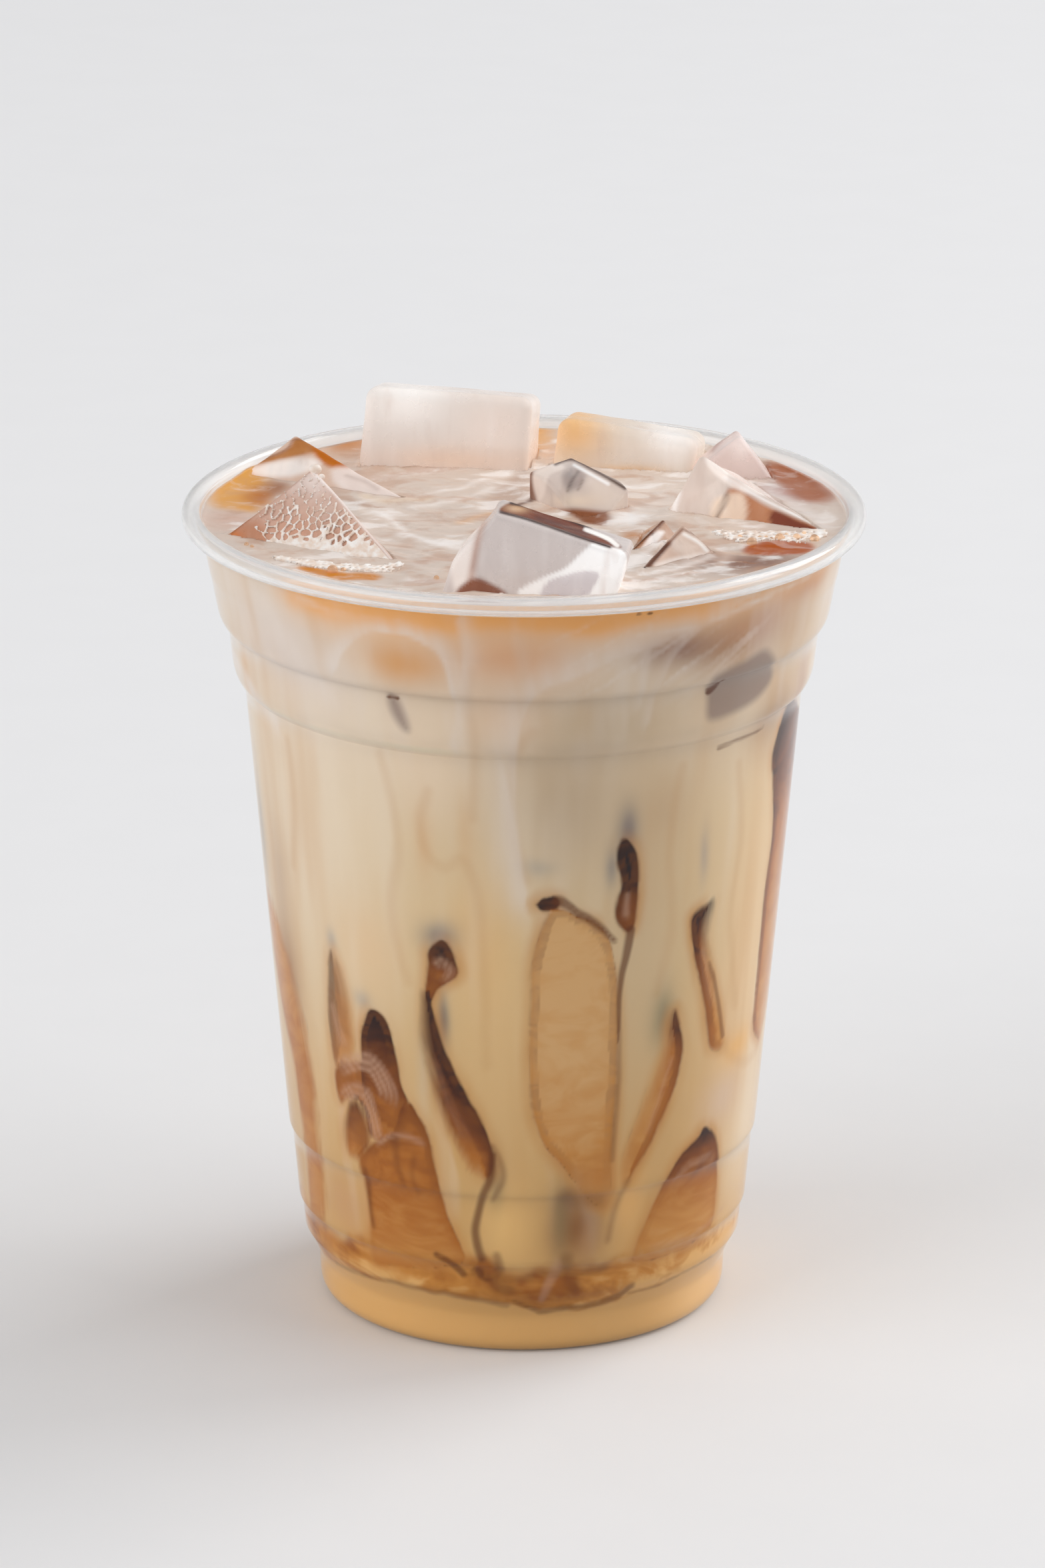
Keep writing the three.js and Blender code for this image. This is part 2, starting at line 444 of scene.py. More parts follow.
iceShape = {
    "grid": 0.34,  # width of a face, where a lump gives none
    "mostCuts": 80,
    "sway": 0.3,  # depth and length of the surface's waves
    "swaySize": 9,
    "swayMiddle": 0.4,
    "ripple": 0.06,
    "rippleSize": 2.5,
    "flareFrom": 2,
    "slumpFrom": (-1, -8),  # a slump grows towards the front, and above the middle
    "slumpAbove": (-2, 4),
}
iceLumps = [
    {"name": "ice_front", "size": (19.5, 11, 20), "centre": (2.8, -33.7, 115.2),
     "turn": (-6.9, 15.6, -6.6), "edge": 0.8, "frost": True, "flare": 3.6, "grid": 0.25,
     "base": (207, 198, 195), "marks": [
         ("fill", [(-5.9, 110.3), (-8.3, 106.9), (-10.1, 103.2), (-9.2, 98.5), (-7.5, 98.6),
          (-6.8, 103.7), (-5.9, 107.3)], (0, 0.6), (244, 236, 231), 0.85),
         # painted shade: a brown band down the corner between the left flank and the front, and a dark
         # patch at the bottom left
         ("line", [(-5.7, 108.7), (-6.4, 106), (-6.9, 103.2), (-7.4, 100.4)], (0.35, 0.7), (164, 116, 94),
          0.75),
         ("fill", [(-9, 99.6), (-6.8, 101), (-4.7, 100.4), (-2.4, 98.6), (-8.8, 98.2)], (0, 0.4),
          (128, 70, 44), 0.95),
         # a painted highlight: a white reflection on the front face, with a grey island in it
         ("fill", [(-1, 98.8), (2.6, 101.1), (5.6, 102.4), (7.8, 104.4), (10, 106.1), (12.7, 105.4),
          (14.1, 103.9), (13.9, 101.7), (12.3, 98.6), (5.9, 98.2)], (0, 0.2), (255, 255, 255), 1),
         ("fill", [(2.4, 98.4), (3.3, 100.5), (5.6, 101.4), (8.2, 102), (10.3, 101.6), (9.6, 99.9),
          (8.1, 98.4)], (0, 0.2), (214, 208, 211), 1),
         ("fill", [(-3.3, 110.2), (-1.8, 111.7), (1.3, 111.1), (5.6, 109.7), (9.1, 108.2), (12.7, 106.2),
          (13.2, 105.2), (10.6, 105.7), (6.9, 107), (0.9, 109.1)], (0, 0.25), (112, 42, 2), 1),
         ("spot", (-1, 110.8), (1.6, 0.7), (214, 174, 134), 0.9),
         ("line", [(-3.2, 110.1), (0.9, 109), (6.9, 106.9), (11.8, 105.3)], (0.22, 0.25), (48, 22, 16),
          1),
         ("line", [(-1.8, 111.6), (1.3, 111), (5.6, 109.6), (9.1, 108.1)], (0.22, 0.25), (46, 22, 16), 1),
         ("line", [(1.8, 109.4), (5.4, 108.3), (8.6, 107.1)], (0.4, 0.4), (84, 34, 20), 0.85),
         # a painted glint on the top face
         ("line", [(8.6, 107.9), (10.2, 107.3), (11.8, 106.5), (12.8, 105.6)], (0.35, 0.2),
          (255, 252, 248), 1)]},
    {"name": "ice_front_left", "size": (24, 18, 19), "centre": (-27.4, -11.3, 109),
     "turn": (-141, 23.5, -54.5), "edge": 0.6, "frost": True, "grid": 0.4, "base": (210, 178, 162),
     "marks": [
         ("fill", [(-42.2, 107.4), (-39, 109.9), (-36.5, 108.9), (-35.8, 105.1), (-38.9, 106.1)],
          (0, 1.2), (184, 126, 94), 0.85),
         ("spot", (-41.1, 107.7), (1.3, 0.8), (208, 120, 58), 0.9),
         ("spot", (-29.8, 115.4), (3.2, 2.2), (232, 220, 214), 0.8),
         ("spot", (-32.5, 108.1), (5, 2.4), (204, 150, 124), 0.7),
         ("spot", (-24.7, 107.1), (4, 2), (206, 156, 130), 0.6),
         ("line", [(-41.7, 107.7), (-36.4, 112), (-32.6, 115), (-29.8, 117.3)], (0.12, 0.25),
          (150, 92, 56), 0.85),
         ("line", [(-29.8, 116.6), (-27.4, 114.3), (-24.8, 111.4), (-22.1, 108.2), (-20, 105.8),
          (-18, 103.3)], (0.12, 0.35), (255, 252, 250), 0.8),
         ("line", [(-29.5, 117.2), (-27, 114.9), (-24.3, 111.9), (-21.8, 109), (-19.8, 106.8),
          (-17.5, 103.7)], (0.1, 0.22), (112, 84, 74), 0.75)]},
    {"name": "ice_back_left", "size": (25, 13, 24), "centre": (-11, 31.6, 114.6), "turn": (-11.5, 2, -8),
     "edge": 2, "frost": True, "grid": 0.6, "base": (224, 216, 210), "marks": [
         ("spot", (-8.4, 119.9), (12, 2.2), (236, 198, 168), 0.65),
         ("spot", (-4, 124.7), (6, 5), (236, 222, 213), 0.8),
         ("line", [(-22.9, 130.7), (-24, 128), (-24.5, 124.6)], (0.4, 0.8), (222, 218, 214), 0.6),
         ("spot", (-17.2, 128.7), (6, 3.5), (255, 254, 252), 0.7)]},
    {"name": "ice_back_right", "size": (21, 12, 20), "centre": (14.6, 30.6, 111.8),
     "turn": (-9, 6.5, -11), "edge": 2, "frost": True, "grid": 0.5, "base": (224, 212, 199), "marks": [
         ("spot", (7.3, 124.9), (4.5, 5), (236, 190, 132), 0.9),
         ("spot", (21.5, 123.3), (4, 4), (255, 253, 251), 0.8),
         ("spot", (14.9, 118.2), (5, 0.9), (226, 174, 108), 0.8),
         ("line", [(5.7, 127.5), (3.9, 125), (4, 121.7)], (0.3, 0.5), (222, 158, 92), 0.7)]},
    {"name": "ice_right", "size": (23, 19, 17), "centre": (32.3, 4.1, 108.9), "turn": (-117, 20.5, -35),
     "edge": 0.7, "frost": False, "grid": 0.4, "base": (216, 205, 197), "marks": [
         ("spot", (24.1, 114.3), (4, 4), (234, 220, 211), 0.7),
         ("line", [(22.1, 114.3), (21.5, 112.4), (21.1, 110.3)], (0.35, 0.4), (255, 255, 255), 0.95),
         # a painted highlight: a white band along the ridge
         ("fill", [(25.8, 119.1), (27.8, 119.5), (35.1, 115.7), (36.8, 113.8), (31.3, 114.4),
          (27.7, 116.6)], (0, 0.35), (255, 249, 244), 0.95),
         ("fill", [(29.6, 115), (35.4, 111.9), (42.7, 108.6), (38.2, 108.4), (30.7, 108.7), (29, 111.9)],
          (0, 0.4), (184, 116, 70), 0.95),
         ("fill", [(27, 113.1), (30.9, 114.2), (31.7, 111.3), (30.3, 108.5), (26.8, 108.5)], (0, 0.5),
          (250, 228, 206), 0.9),
         ("fill", [(35.4, 111.7), (39.1, 110.1), (42.6, 108.5), (38.6, 108.7), (35.2, 109.6)], (0, 0.35),
          (112, 42, 18), 1),
         ("line", [(26, 108.6), (27.4, 110.9), (29, 114)], (0.25, 0.35), (84, 50, 38), 0.85),
         # a painted highlight along the ridge
         ("line", [(28.5, 116.6), (35.4, 112.6), (43.1, 108.9)], (0.14, 0.22), (255, 255, 255), 1)]},
    {"name": "ice_centre", "size": (13, 8.5, 14), "centre": (7.9, 7.5, 113.8), "turn": (5.3, 5.9, -48.4),
     "edge": 0.7, "frost": False, "slump": 4.2, "grid": 0.2, "base": (212, 198, 190), "marks": [
         ("fill", [(0, 117.6), (1.5, 117.2), (1.9, 113.6), (0, 111.5)], (0, 0.4), (120, 74, 52), 0.9),
         ("fill", [(1.2, 116.9), (2.6, 118.1), (4.8, 118.9), (5.8, 118), (3.6, 116.9), (2.9, 114.2),
          (1.9, 113.6)], (0, 0.35), (236, 224, 215), 0.95),
         # a painted reflection: a grey patch with darker streaks on the face
         ("fill", [(5.6, 117.4), (7.2, 118.3), (8.9, 116.9), (7.9, 115.2), (6.3, 114.8), (5.5, 116)],
          (0, 0.7), (162, 150, 146), 0.85),
         ("line", [(6.2, 114.6), (6.7, 115.9), (7.7, 117.5)], (0.15, 0.35), (104, 92, 88), 0.8),
         ("line", [(7.7, 114.8), (8.4, 116.2)], (0.12, 0.3), (116, 102, 96), 0.7),
         ("fill", [(9.4, 116.4), (14, 114.6), (14.6, 112.4), (12, 111.8), (9.3, 113.6)], (0, 1),
          (226, 213, 202), 0.85),
         ("spot", (7.4, 113.2), (3.4, 1.1), (240, 221, 200), 0.85),
         ("line", [(4.5, 118.7), (6.8, 119.5), (9.5, 118.1), (12, 116.6), (14.4, 115.1)], (0.24, 0.3),
          (74, 52, 44), 0.95),
         # a painted highlight under the ridge
         ("line", [(7.2, 118.6), (9.5, 117.2), (12, 115.7)], (0.22, 0.25), (255, 255, 255), 1),
         ("fill", [(4.4, 111.6), (6.8, 112.1), (11, 111.7), (14.6, 111.2), (13.4, 109.8), (9.3, 109),
          (6, 109.6)], (0, 0.5), (136, 72, 30), 0.95)]},
    {"name": "ice_left_back", "size": (26, 16, 17), "centre": (-28.9, 17.4, 108),
     "turn": (-154.5, 10, -48.5), "edge": 0.7, "frost": False, "grid": 0.44, "base": (220, 193, 175),
     "marks": [
         ("fill", [(-41, 118.6), (-34.9, 121.2), (-33.2, 123), (-30.2, 122.2), (-29.7, 121.1),
          (-33.6, 120.2), (-37.5, 119.3)], (0, 0.4), (180, 116, 52), 0.95),
         ("fill", [(-30.7, 122), (-27.7, 120.9), (-24.6, 118.7), (-27.2, 118.3), (-29.8, 119.6)],
          (0, 0.5), (190, 106, 22), 1),
         ("fill", [(-40.4, 118.2), (-35.5, 119.6), (-31, 120), (-29.6, 118.9), (-33.5, 117.3),
          (-37.8, 117.3)], (0, 0.6), (255, 251, 247), 0.9),
         ("fill", [(-27.7, 118.3), (-23.4, 118.1), (-17.5, 114.2), (-21.7, 113.8), (-26.8, 115.6)],
          (0, 0.6), (244, 234, 229), 0.85),
         ("line", [(-25.7, 117.3), (-23.2, 116.4), (-21.2, 115.2)], (0.15, 0.5), (160, 144, 136), 0.5),
         ("line", [(-40.8, 118.7), (-34.9, 121.2), (-33.2, 122.9), (-27.8, 121.1), (-23.7, 118.6),
          (-17.8, 114.8)], (0.1, 0.25), (136, 86, 50), 0.8)]},
    {"name": "ice_right_back", "size": (9, 8, 9), "centre": (30.4, 24.2, 116.2), "turn": (-10, 52, -6),
     "edge": 0.8, "frost": True, "base": (226, 208, 202), "marks": [
         ("line", [(27.2, 121.2), (29, 123.3), (30.8, 124.5)], (0.2, 0.4), (152, 102, 86), 0.65),
         ("spot", (31.4, 121.8), (1.5, 1.5), (255, 246, 242), 0.6)]},
    {"name": "ice_shard_right", "size": (12, 13, 11), "centre": (21, -20, 110.8),
     "turn": (-154.5, 41.5, -14), "edge": 0.6, "frost": False, "grid": 0.22, "base": (208, 180, 162),
     "marks": [
         ("fill", [(20.4, 106.4), (22, 108.2), (24.6, 106.8), (25.8, 105.3), (22.7, 104.9)], (0, 0.6),
          (224, 206, 193), 0.85),
         ("line", [(16.9, 102.7), (18.5, 104.5), (20.2, 106.4)], (0.4, 0.3), (84, 46, 32), 0.95),
         ("line", [(20.2, 106.4), (22, 108.3)], (0.2, 0.3), (132, 86, 64), 0.85),
         ("line", [(22.2, 108.5), (24.4, 107.4), (26.2, 105.5)], (0.1, 0.25), (118, 88, 76), 0.8),
         # a painted glint
         ("line", [(22.4, 107.8), (24.4, 106.7), (25.6, 105.5)], (0.2, 0.3), (255, 254, 252), 0.95),
         ("line", [(18.5, 103.3), (21.8, 104.3), (25.1, 104.9)], (0.2, 0.5), (255, 250, 246), 0.8)]},
    {"name": "ice_shard_left", "size": (8, 12, 10), "centre": (16.4, -12.3, 111.9),
     "turn": (-155.5, 50, -12), "edge": 0.6, "frost": False, "grid": 0.22, "base": (206, 174, 154),
     "marks": [
         # a painted glint
         ("fill", [(15.7, 105.7), (17.4, 107.5), (19.1, 108.5), (19.7, 108.1), (17.8, 106)], (0, 0.3),
          (255, 252, 250), 0.95),
         ("fill", [(14.4, 105.9), (15.8, 107.6), (17.6, 108.9), (17.4, 107.4), (15.6, 105.1)], (0, 0.35),
          (176, 112, 48), 0.9),
         ("line", [(15.1, 105.5), (16.5, 106.9), (17.9, 108.2)], (0.3, 0.3), (92, 48, 24), 0.9),
         ("line", [(17.9, 108.2), (19.7, 110)], (0.3, 0.3), (104, 60, 42), 0.9)]},
]


curveSteps = 7  # points from one knot to the next
paintReach = 6.0


def curveThrough(points, closed):
    # smooth curve through a few points
    knots, parts = np.array(points, float), []
    count = len(knots)
    share = np.linspace(0, 1, curveSteps, endpoint=False)[:, None]
    for k in range(count if closed else count - 1):
        around = (k - 1, k, k + 1, k + 2)
        if closed:
            a, b, c, d = (knots[i % count] for i in around)
        else:
            a, b, c, d = (knots[min(max(i, 0), count - 1)] for i in around)
        bow = (2 * a - 5 * b + 4 * c - d) * share**2 + (3 * b - a - 3 * c + d) * share**3
        parts.append(b + 0.5 * ((c - a) * share + bow))
    return np.vstack(parts + ([] if closed else [knots[-1:]]))


def planeField(curve, closed, points, reach):
    # distance to a curve, below nothing inside a closed one; which side of it, and how far along it
    near = ((points > curve.min(0) - reach) & (points < curve.max(0) + reach)).all(1)
    spot = points[near]
    ends = np.roll(curve, -1, 0) if closed else curve[1:]
    nearest = np.full(len(spot), float(reach))
    side, along = np.zeros(len(spot)), np.zeros(len(spot))
    inside = np.zeros(len(spot), bool)
    for k, (start, end) in enumerate(zip(curve, ends)):
        way = end - start
        reached = np.clip((spot - start) @ way / max(way @ way, 1e-9), 0, 1)
        off = spot - start - reached[:, None] * way
        away = np.hypot(*off.T)
        closer = away < nearest
        nearest = np.where(closer, away, nearest)
        if closed:
            turned = off[:, 0] / np.maximum(away, 1e-6)
        else:
            turned = np.sign(way[0] * off[:, 1] - way[1] * off[:, 0])
        side = np.where(closer, turned, side)
        along = np.where(closer, (k + reached) / len(ends), along)
        crossing = (start[1] > spot[:, 1]) != (end[1] > spot[:, 1])
        inside ^= crossing & (spot[:, 0] < start[0] + (spot[:, 1] - start[1]) * way[0] / (way[1] or 1e-9))
    inside &= closed
    sign = np.where(inside, -1, 1)
    results = []
    for values, rest in ((sign * nearest, reach), (sign * side, 0), (along, 0)):
        whole = np.full(len(points), float(rest))
        whole[near] = values
        results.append(whole)
    return results


def painted(base, marks, points):
    # colours on a plane: soft spots, filled outlines and lines, each laid over what came before
    colour = np.tile(np.array(srgb(*base)[:3]), (len(points), 1))
    for kind, path, size, tint, share in marks:
        if kind == "spot":
            cover = np.exp(-(((points - path) / size) ** 2).sum(1))
        else:
            half, blur = size
            closed = kind == "fill"
            distance = planeField(curveThrough(path, closed), closed, points, paintReach)[0]
            cover = smoothStep(half + blur, half - blur, distance)
        colour += (share * cover)[:, None] * (np.array(srgb(*tint)[:3]) - colour)
    return colour


def seenPlane(verts):
    lean = math.radians(stage["pitch"])
    return np.stack([verts[:, 0], verts[:, 2] * math.cos(lean) + verts[:, 1] * math.sin(lean)], -1)


def turnOf(lump):
    return np.array(Euler([math.radians(a) for a in lump["turn"]], "XYZ").to_matrix())


def iceSurface():
    # brushed frost over the painted colour, for every kind of ice
    outputs = [("Color", "Color"), ("Roughness", "Float"), ("Normal", "Vector")]
    tree, given, result = newGroup("iceSurface", [("Frost", "Float")], outputs)
    brush = cloud(tree, 330.0, stretch=(1, 0.5, 0.16))
    paint = field(tree, "paint", "Color")
    pale = place(tree, "ShaderNodeRGBToBW", {"Color": paint}).outputs[0]
    whiter = sums(tree, "MULTIPLY", ranged(tree, brush, 0.5, 0.8, 0.0, 0.3), pale)
    colour = mixed(tree, whiter, paint, srgb(255, 252, 250))
    greyer = sums(tree, "MULTIPLY", ranged(tree, brush, 0.45, 0.25, 0.0, 0.3), pale)
    colour = mixed(tree, greyer, colour, srgb(196, 170, 158))
    grains = ranged(tree, cloud(tree, 240.0, 4.0), 0.35, 0.7, 0.45, 1.0)
    rough = sums(tree, "MULTIPLY", grains, given.outputs["Frost"])
    normal = bump(tree, cloud(tree, 420.0, 2.0), 0.3, 0.0003)
    for name, value in (("Color", colour), ("Roughness", rough), ("Normal", normal)):
        tree.links.new(value, result.inputs[name])
    return tree


def iceMaterial(name, surface, clearness, frost, shine):
    material, tree = newMaterial(name)
    group = place(tree, "ShaderNodeGroup", node_tree=surface)
    group.inputs["Frost"].default_value = frost
    inputs = {
        "Base Color": group.outputs["Color"],
        "Roughness": group.outputs["Roughness"],
        "Normal": group.outputs["Normal"],
        "IOR": 1.31,
        "Specular IOR Level": shine,
        "Transmission Weight": clearness,
        "Emission Color": group.outputs["Color"],
        "Emission Strength": 0.13,  # a painted glow, for light gathered inside the ice
    }
    seeThrough(tree, inputs, (0.92, 0.9, 0.88, 1.0))
    return material


def insideWall(height):
    # radius that keeps clear of the cup
    wall = offsetPath(cupPath(), cupShape["sheet"] + cupShape["clearance"])[cupShape["wallPart"]]
    return np.interp(height, wall[:, 1], wall[:, 0])


def makeIce(lump, material, seed):
    cuts = min(iceShape["mostCuts"], int(max(lump["size"]) / lump.get("grid", iceShape["grid"])))
    shape = bmesh.new()
    bmesh.ops.create_cube(shape, size=2.0)
    bmesh.ops.subdivide_edges(shape, edges=shape.edges[:], cuts=cuts, use_grid_fill=True)
    cube = np.array([v.co for v in shape.verts])
    faces = [[v.index for v in f.verts] for f in shape.faces]
    shape.free()
    half = np.array(lump["size"]) / 2
    spot = np.sin(cube * math.pi / 2) * half  # closer rows towards the edges
    edge = lump["edge"]
    core = np.clip(spot, edge - half, half - edge)
    out = spot - core
    out /= np.linalg.norm(out, axis=1, keepdims=True)
    spot = core + edge * out
    sway = [noise.noise(Vector(p / iceShape["swaySize"]) + Vector((seed, 0, 0))) for p in spot]
    ripple = [noise.noise(Vector(p / iceShape["rippleSize"]) + Vector((0, seed, 0))) for p in spot]
    melted = iceShape["sway"] * (iceShape["swayMiddle"] + np.array(sway))
    spot -= out * (melted + iceShape["ripple"] * np.array(ripple))[:, None]
    flare = lump.get("flare", 0) * smoothStep(iceShape["flareFrom"], -half[0], spot[:, 0])
    spot[:, 0] -= flare * smoothStep(half[2], 0.1 * half[2], spot[:, 2])
    verts = spot @ turnOf(lump).T
    slump = lump.get("slump", 0) * smoothStep(*iceShape["slumpFrom"], verts[:, 1])
    verts[:, 2] -= slump * smoothStep(*iceShape["slumpAbove"], verts[:, 2])
    verts += np.array(lump["centre"])
    verts[:, :2] *= np.minimum(1, insideWall(verts[:, 2]) / np.hypot(verts[:, 0], verts[:, 1]))[:, None]
    piece = addPiece(lump["name"] + "_lump", verts, faces, material, "ice")
    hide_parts(lump["name"])
    setField(piece, "paint", painted(lump["base"], lump["marks"], seenPlane(verts)))


surface = iceSurface()
frosted = iceMaterial("frostedIce", surface, clearness=0.2, frost=0.34, shine=0.05)
clearIce = iceMaterial("clearIce", surface, clearness=0.35, frost=0.12, shine=0.18)
for seed, lump in enumerate(iceLumps):
    makeIce(lump, frosted if lump["frost"] else clearIce, seed * 3.7)
print("ice made:", len(iceLumps), "lumps")


# the drink: milk sinking through coffee; heights are in millimetres, angles in degrees from the front

drinkShape = {
    "level": 116.5,
    "seam": 93.3,  # the two drink pieces meet at the lower shoulder
    "overlap": 0.5,  # how far each reaches into the other, out of sight
    "inset": 0.2,  # how far inside the cup's outer face
    "wallFoot": 30.6,  # the wall's radius at the foot, and its growth with the height
    "wallTaper": 0.1,
    "frontColumns": 400,
    "backColumns": 150,
    "rowStep": 0.6,
    "pathStep": 0.3,
    "footLevel": 1.0,  # the raised base, above this, takes every tenth row
    "footSkip": 10,
    "lidRadii": (0.998, 0.6, 0),
    "rings": 110,
    "wallMeniscus": (0.6, 0.8),  # rise and reach
    "iceMeniscus": (0.3, 0.7),
    "iceInset": 0.25,
    "iceSeat": 4.0,  # how deep the ice is let into the drink
    "film": 1.0,  # drink left between the ice and the cup
    "windowReach": 6.0,  # how far round a mark on the wall its distance is worked out
    "strokeReach": 4.0,
    "wispReach": 12.0,
    "threadReach": 3.0,
    "edgeDepth": 0.9,  # how far inside a window its edge is shaded, and how far round it a line shows
    "lineReach": 1.2,
    "kneeReach": 0.9,
    "palest": 0.96,
}

# where coffee shows through the milk: outlines are (angle, height), tones are (height, tone) from 0,
# nearly black, to 1, pale amber; soft and line are for the left and right edges, cross darkens one side
coffeeWindows = {
    "sliver": {"soft": (0.5, 1.6), "line": (0.4, 0), "veil": 0.45, "cross": 0.2,
        "tones": [(43, 0.66), (50, 0.42), (60, 0.2)],
        "outline": [(-47.2, 59.9), (-45.4, 57.8), (-44.1, 53.8), (-42.8, 49.3), (-42.4, 46.3),
         (-45.1, 43.3), (-48.3, 41.9), (-49.5, 45.6), (-49.6, 51.8), (-48.6, 57.1)]},
    "veil": {"soft": (0.7, 0.7), "line": (0.2, 0), "veil": 0.1,
        "tones": [(32, 0.66), (40, 0.56), (44, 0.55)],
        "outline": [(-48.6, 41.2), (-39.6, 44.4), (-33, 42.8), (-27.3, 38.5), (-23.1, 34.8),
         (-31.8, 32.6), (-38.9, 32.6), (-40.6, 36.7), (-44.1, 38.1), (-48.1, 36.6)]},
    "arch": {"soft": (0.4, 0.35), "line": (0.5, 0.6),
        "tones": [(35, 0.6), (40, 0.47), (45.5, 0.33), (49, 0.14), (51, 0.02)],
        "outline": [(-36.3, 52.5), (-32.7, 51.5), (-30.6, 47.7), (-29.4, 42.4), (-27.6, 38.5),
         (-32, 34.8), (-37.5, 37.2), (-40, 41), (-40.1, 46.7), (-38.6, 50.3)]},
    "lobe": {"soft": (1.3, 1.3), "line": (0.2, 0.1), "veil": 0.15,
        "tones": [(28, 0.7), (33, 0.52), (37.6, 0.34)],
        "outline": [(-43.1, 37.6), (-40.1, 36), (-38.9, 32.9), (-41, 29.4), (-45.3, 27.9), (-47.6, 29.9),
         (-47, 34.1)]},
    "low": {"soft": (0.8, 0.35), "line": (0.4, 0.9),
        "tones": [(13, 0.76), (18, 0.7), (26, 0.6), (31, 0.58), (38, 0.5)],
        "outline": [(-27.6, 39), (-22.7, 34.6), (-21.3, 30.3), (-18.6, 21.9), (-15.3, 17.6), (-14.6, 15),
         (-25.3, 13), (-41, 12), (-41.5, 18.7), (-42.4, 24.9), (-42.9, 28.6), (-38.2, 31.7),
         (-32.1, 33.3)]},
    "pocket": {"soft": (0.35, 0.35), "line": (0.7, 0.7), "veil": 0.05,
        "tones": [(56, 0.5), (60, 0.5), (62.4, 0.3), (63.6, 0.08), (65, 0.02)],
        "outline": [(-17.7, 65.1), (-15.8, 64.2), (-14.4, 61.8), (-14.3, 60), (-16.6, 58.9),
         (-19.3, 57.6), (-21.3, 55.1), (-22.1, 56.6), (-21, 60.8), (-20.6, 63.4)]},
    "band": {"soft": (1.9, 0.35), "line": (0.1, 0.6), "cross": -0.14,
        "tones": [(28.5, 0.66), (32, 0.56), (37, 0.42), (45, 0.22), (52, 0.12), (57, 0.14)],
        "outline": [(-21.7, 56.8), (-19.4, 51), (-17.8, 47.6), (-14.4, 43.8), (-11.7, 40.6), (-9, 36.8),
         (-6.5, 32.7), (-7.2, 29.3), (-9.8, 28.9), (-14.1, 31.8), (-17.6, 35.8), (-20.2, 41.3),
         (-21.8, 46.3), (-22.4, 52.4)]},
    "spot": {"soft": (0.4, 0.5), "line": (0.4, 0.3), "cross": 0.15,
        "tones": [(70, 0.34), (71, 0.12), (72.5, 0.1)],
        "outline": [(2.9, 71.2), (4.1, 72.2), (6.7, 72.4), (8.1, 71.6), (7.3, 70.5), (4.7, 70.2)]},
    "panel": {"soft": (0.4, 0.4), "line": (0.5, 0.45), "fade": (21, 37),
        "tones": [(24, 0.7), (29, 0.72), (34, 0.86), (46, 0.96), (60, 1), (70, 1)],
        "outline": [(6.7, 70.2), (13.7, 68.7), (19.3, 64.3), (21.4, 55.7), (21.8, 43.3), (21.7, 30.8),
         (21.6, 24), (17.1, 24.5), (9.8, 30.6), (4.2, 35.4), (1.9, 44.2), (1.7, 58.6), (3.7, 66)]},
    "tear": {"soft": (0.45, 0.35), "line": (0.6, 0.6), "cross": 0.05,
        "tones": [(66, 0.46), (70, 0.4), (72.5, 0.22), (74, 0.03), (80, 0)],
        "outline": [(21.2, 80.4), (23.5, 78.9), (24.8, 75.8), (25, 71.2), (24.5, 67.2), (22.9, 66),
         (20.8, 67.5), (20, 69.9), (21, 73.6), (19.9, 76.7), (20.1, 79)]},
    "hook": {"soft": (0.35, 1.9), "line": (0.7, 0), "veil": 0.05, "cross": 0.14,
        "tones": [(44, 0.78), (52, 0.72), (58, 0.58), (63, 0.34), (67, 0.06)],
        "outline": [(45.1, 68.1), (44.5, 65.3), (44.2, 62.1), (46.8, 56.5), (50.7, 50.7), (54.1, 45),
         (52.2, 44.1), (48.4, 45.4), (45.5, 51.6), (41.7, 59.4), (39.4, 64.7), (39.8, 67.1)]},
    "reed": {"soft": (1.9, 0.35), "line": (0, 0.7), "veil": 0.1, "cross": -0.12,
        "tones": [(27, 0.74), (38, 0.75), (45, 0.62), (50, 0.36), (52, 0.16)],
        "outline": [(36.5, 52.5), (38.6, 49.1), (39.5, 45.6), (38, 40.4), (34, 34.9), (29.4, 29.8),
         (26.4, 27), (26.4, 30.9), (29.1, 36.3), (32.6, 43), (34.9, 47), (34.8, 50.7)]},
    "cove": {"soft": (0.4, 0.6), "line": (0.8, 0.3),
        "tones": [(13, 0.86), (20, 0.76), (24.5, 0.64), (26.5, 0.46), (29, 0.42), (31, 0.2), (32, 0.06)],
        "outline": [(49, 32.6), (53.2, 30.4), (55.8, 27.4), (57.8, 22.1), (57.2, 16.5), (52.6, 14.5),
         (42.2, 13.5), (30.8, 13.5), (29.4, 15.8), (31.9, 19.3), (35.4, 23.3), (38.7, 27.1), (42.3, 29.8),
         (46.2, 31)]},
    "leftStrip": {"soft": (1.6, 2.4), "line": (0, 0),
        "tones": [(14, 0.72), (40, 0.7), (60, 0.8)],
        "outline": [(-81.3, 62.7), (-70.5, 58.9), (-63.5, 50.1), (-59.1, 38.6), (-58.6, 25.1),
         (-60.9, 16.3), (-69.9, 13.3), (-68.3, 27.4), (-72, 41.1), (-79.9, 52.8)]},
    "rightStrip": {"soft": (0.7, 0.7), "line": (0.8, 0), "cross": 0.25,
        "tones": [(42, 0.84), (60, 0.76), (74, 0.66), (82, 0.42), (94, 0.26)],
        "outline": [(71.3, 93.7), (88, 86.2), (89, 75.1), (89, 61.9), (87, 50.6), (79, 42.8),
         (73.6, 41.2), (68.4, 44.7), (67.6, 54.2), (67.4, 65.4), (67.8, 74.9), (65.4, 82.1),
         (63.6, 87.7)]},
}

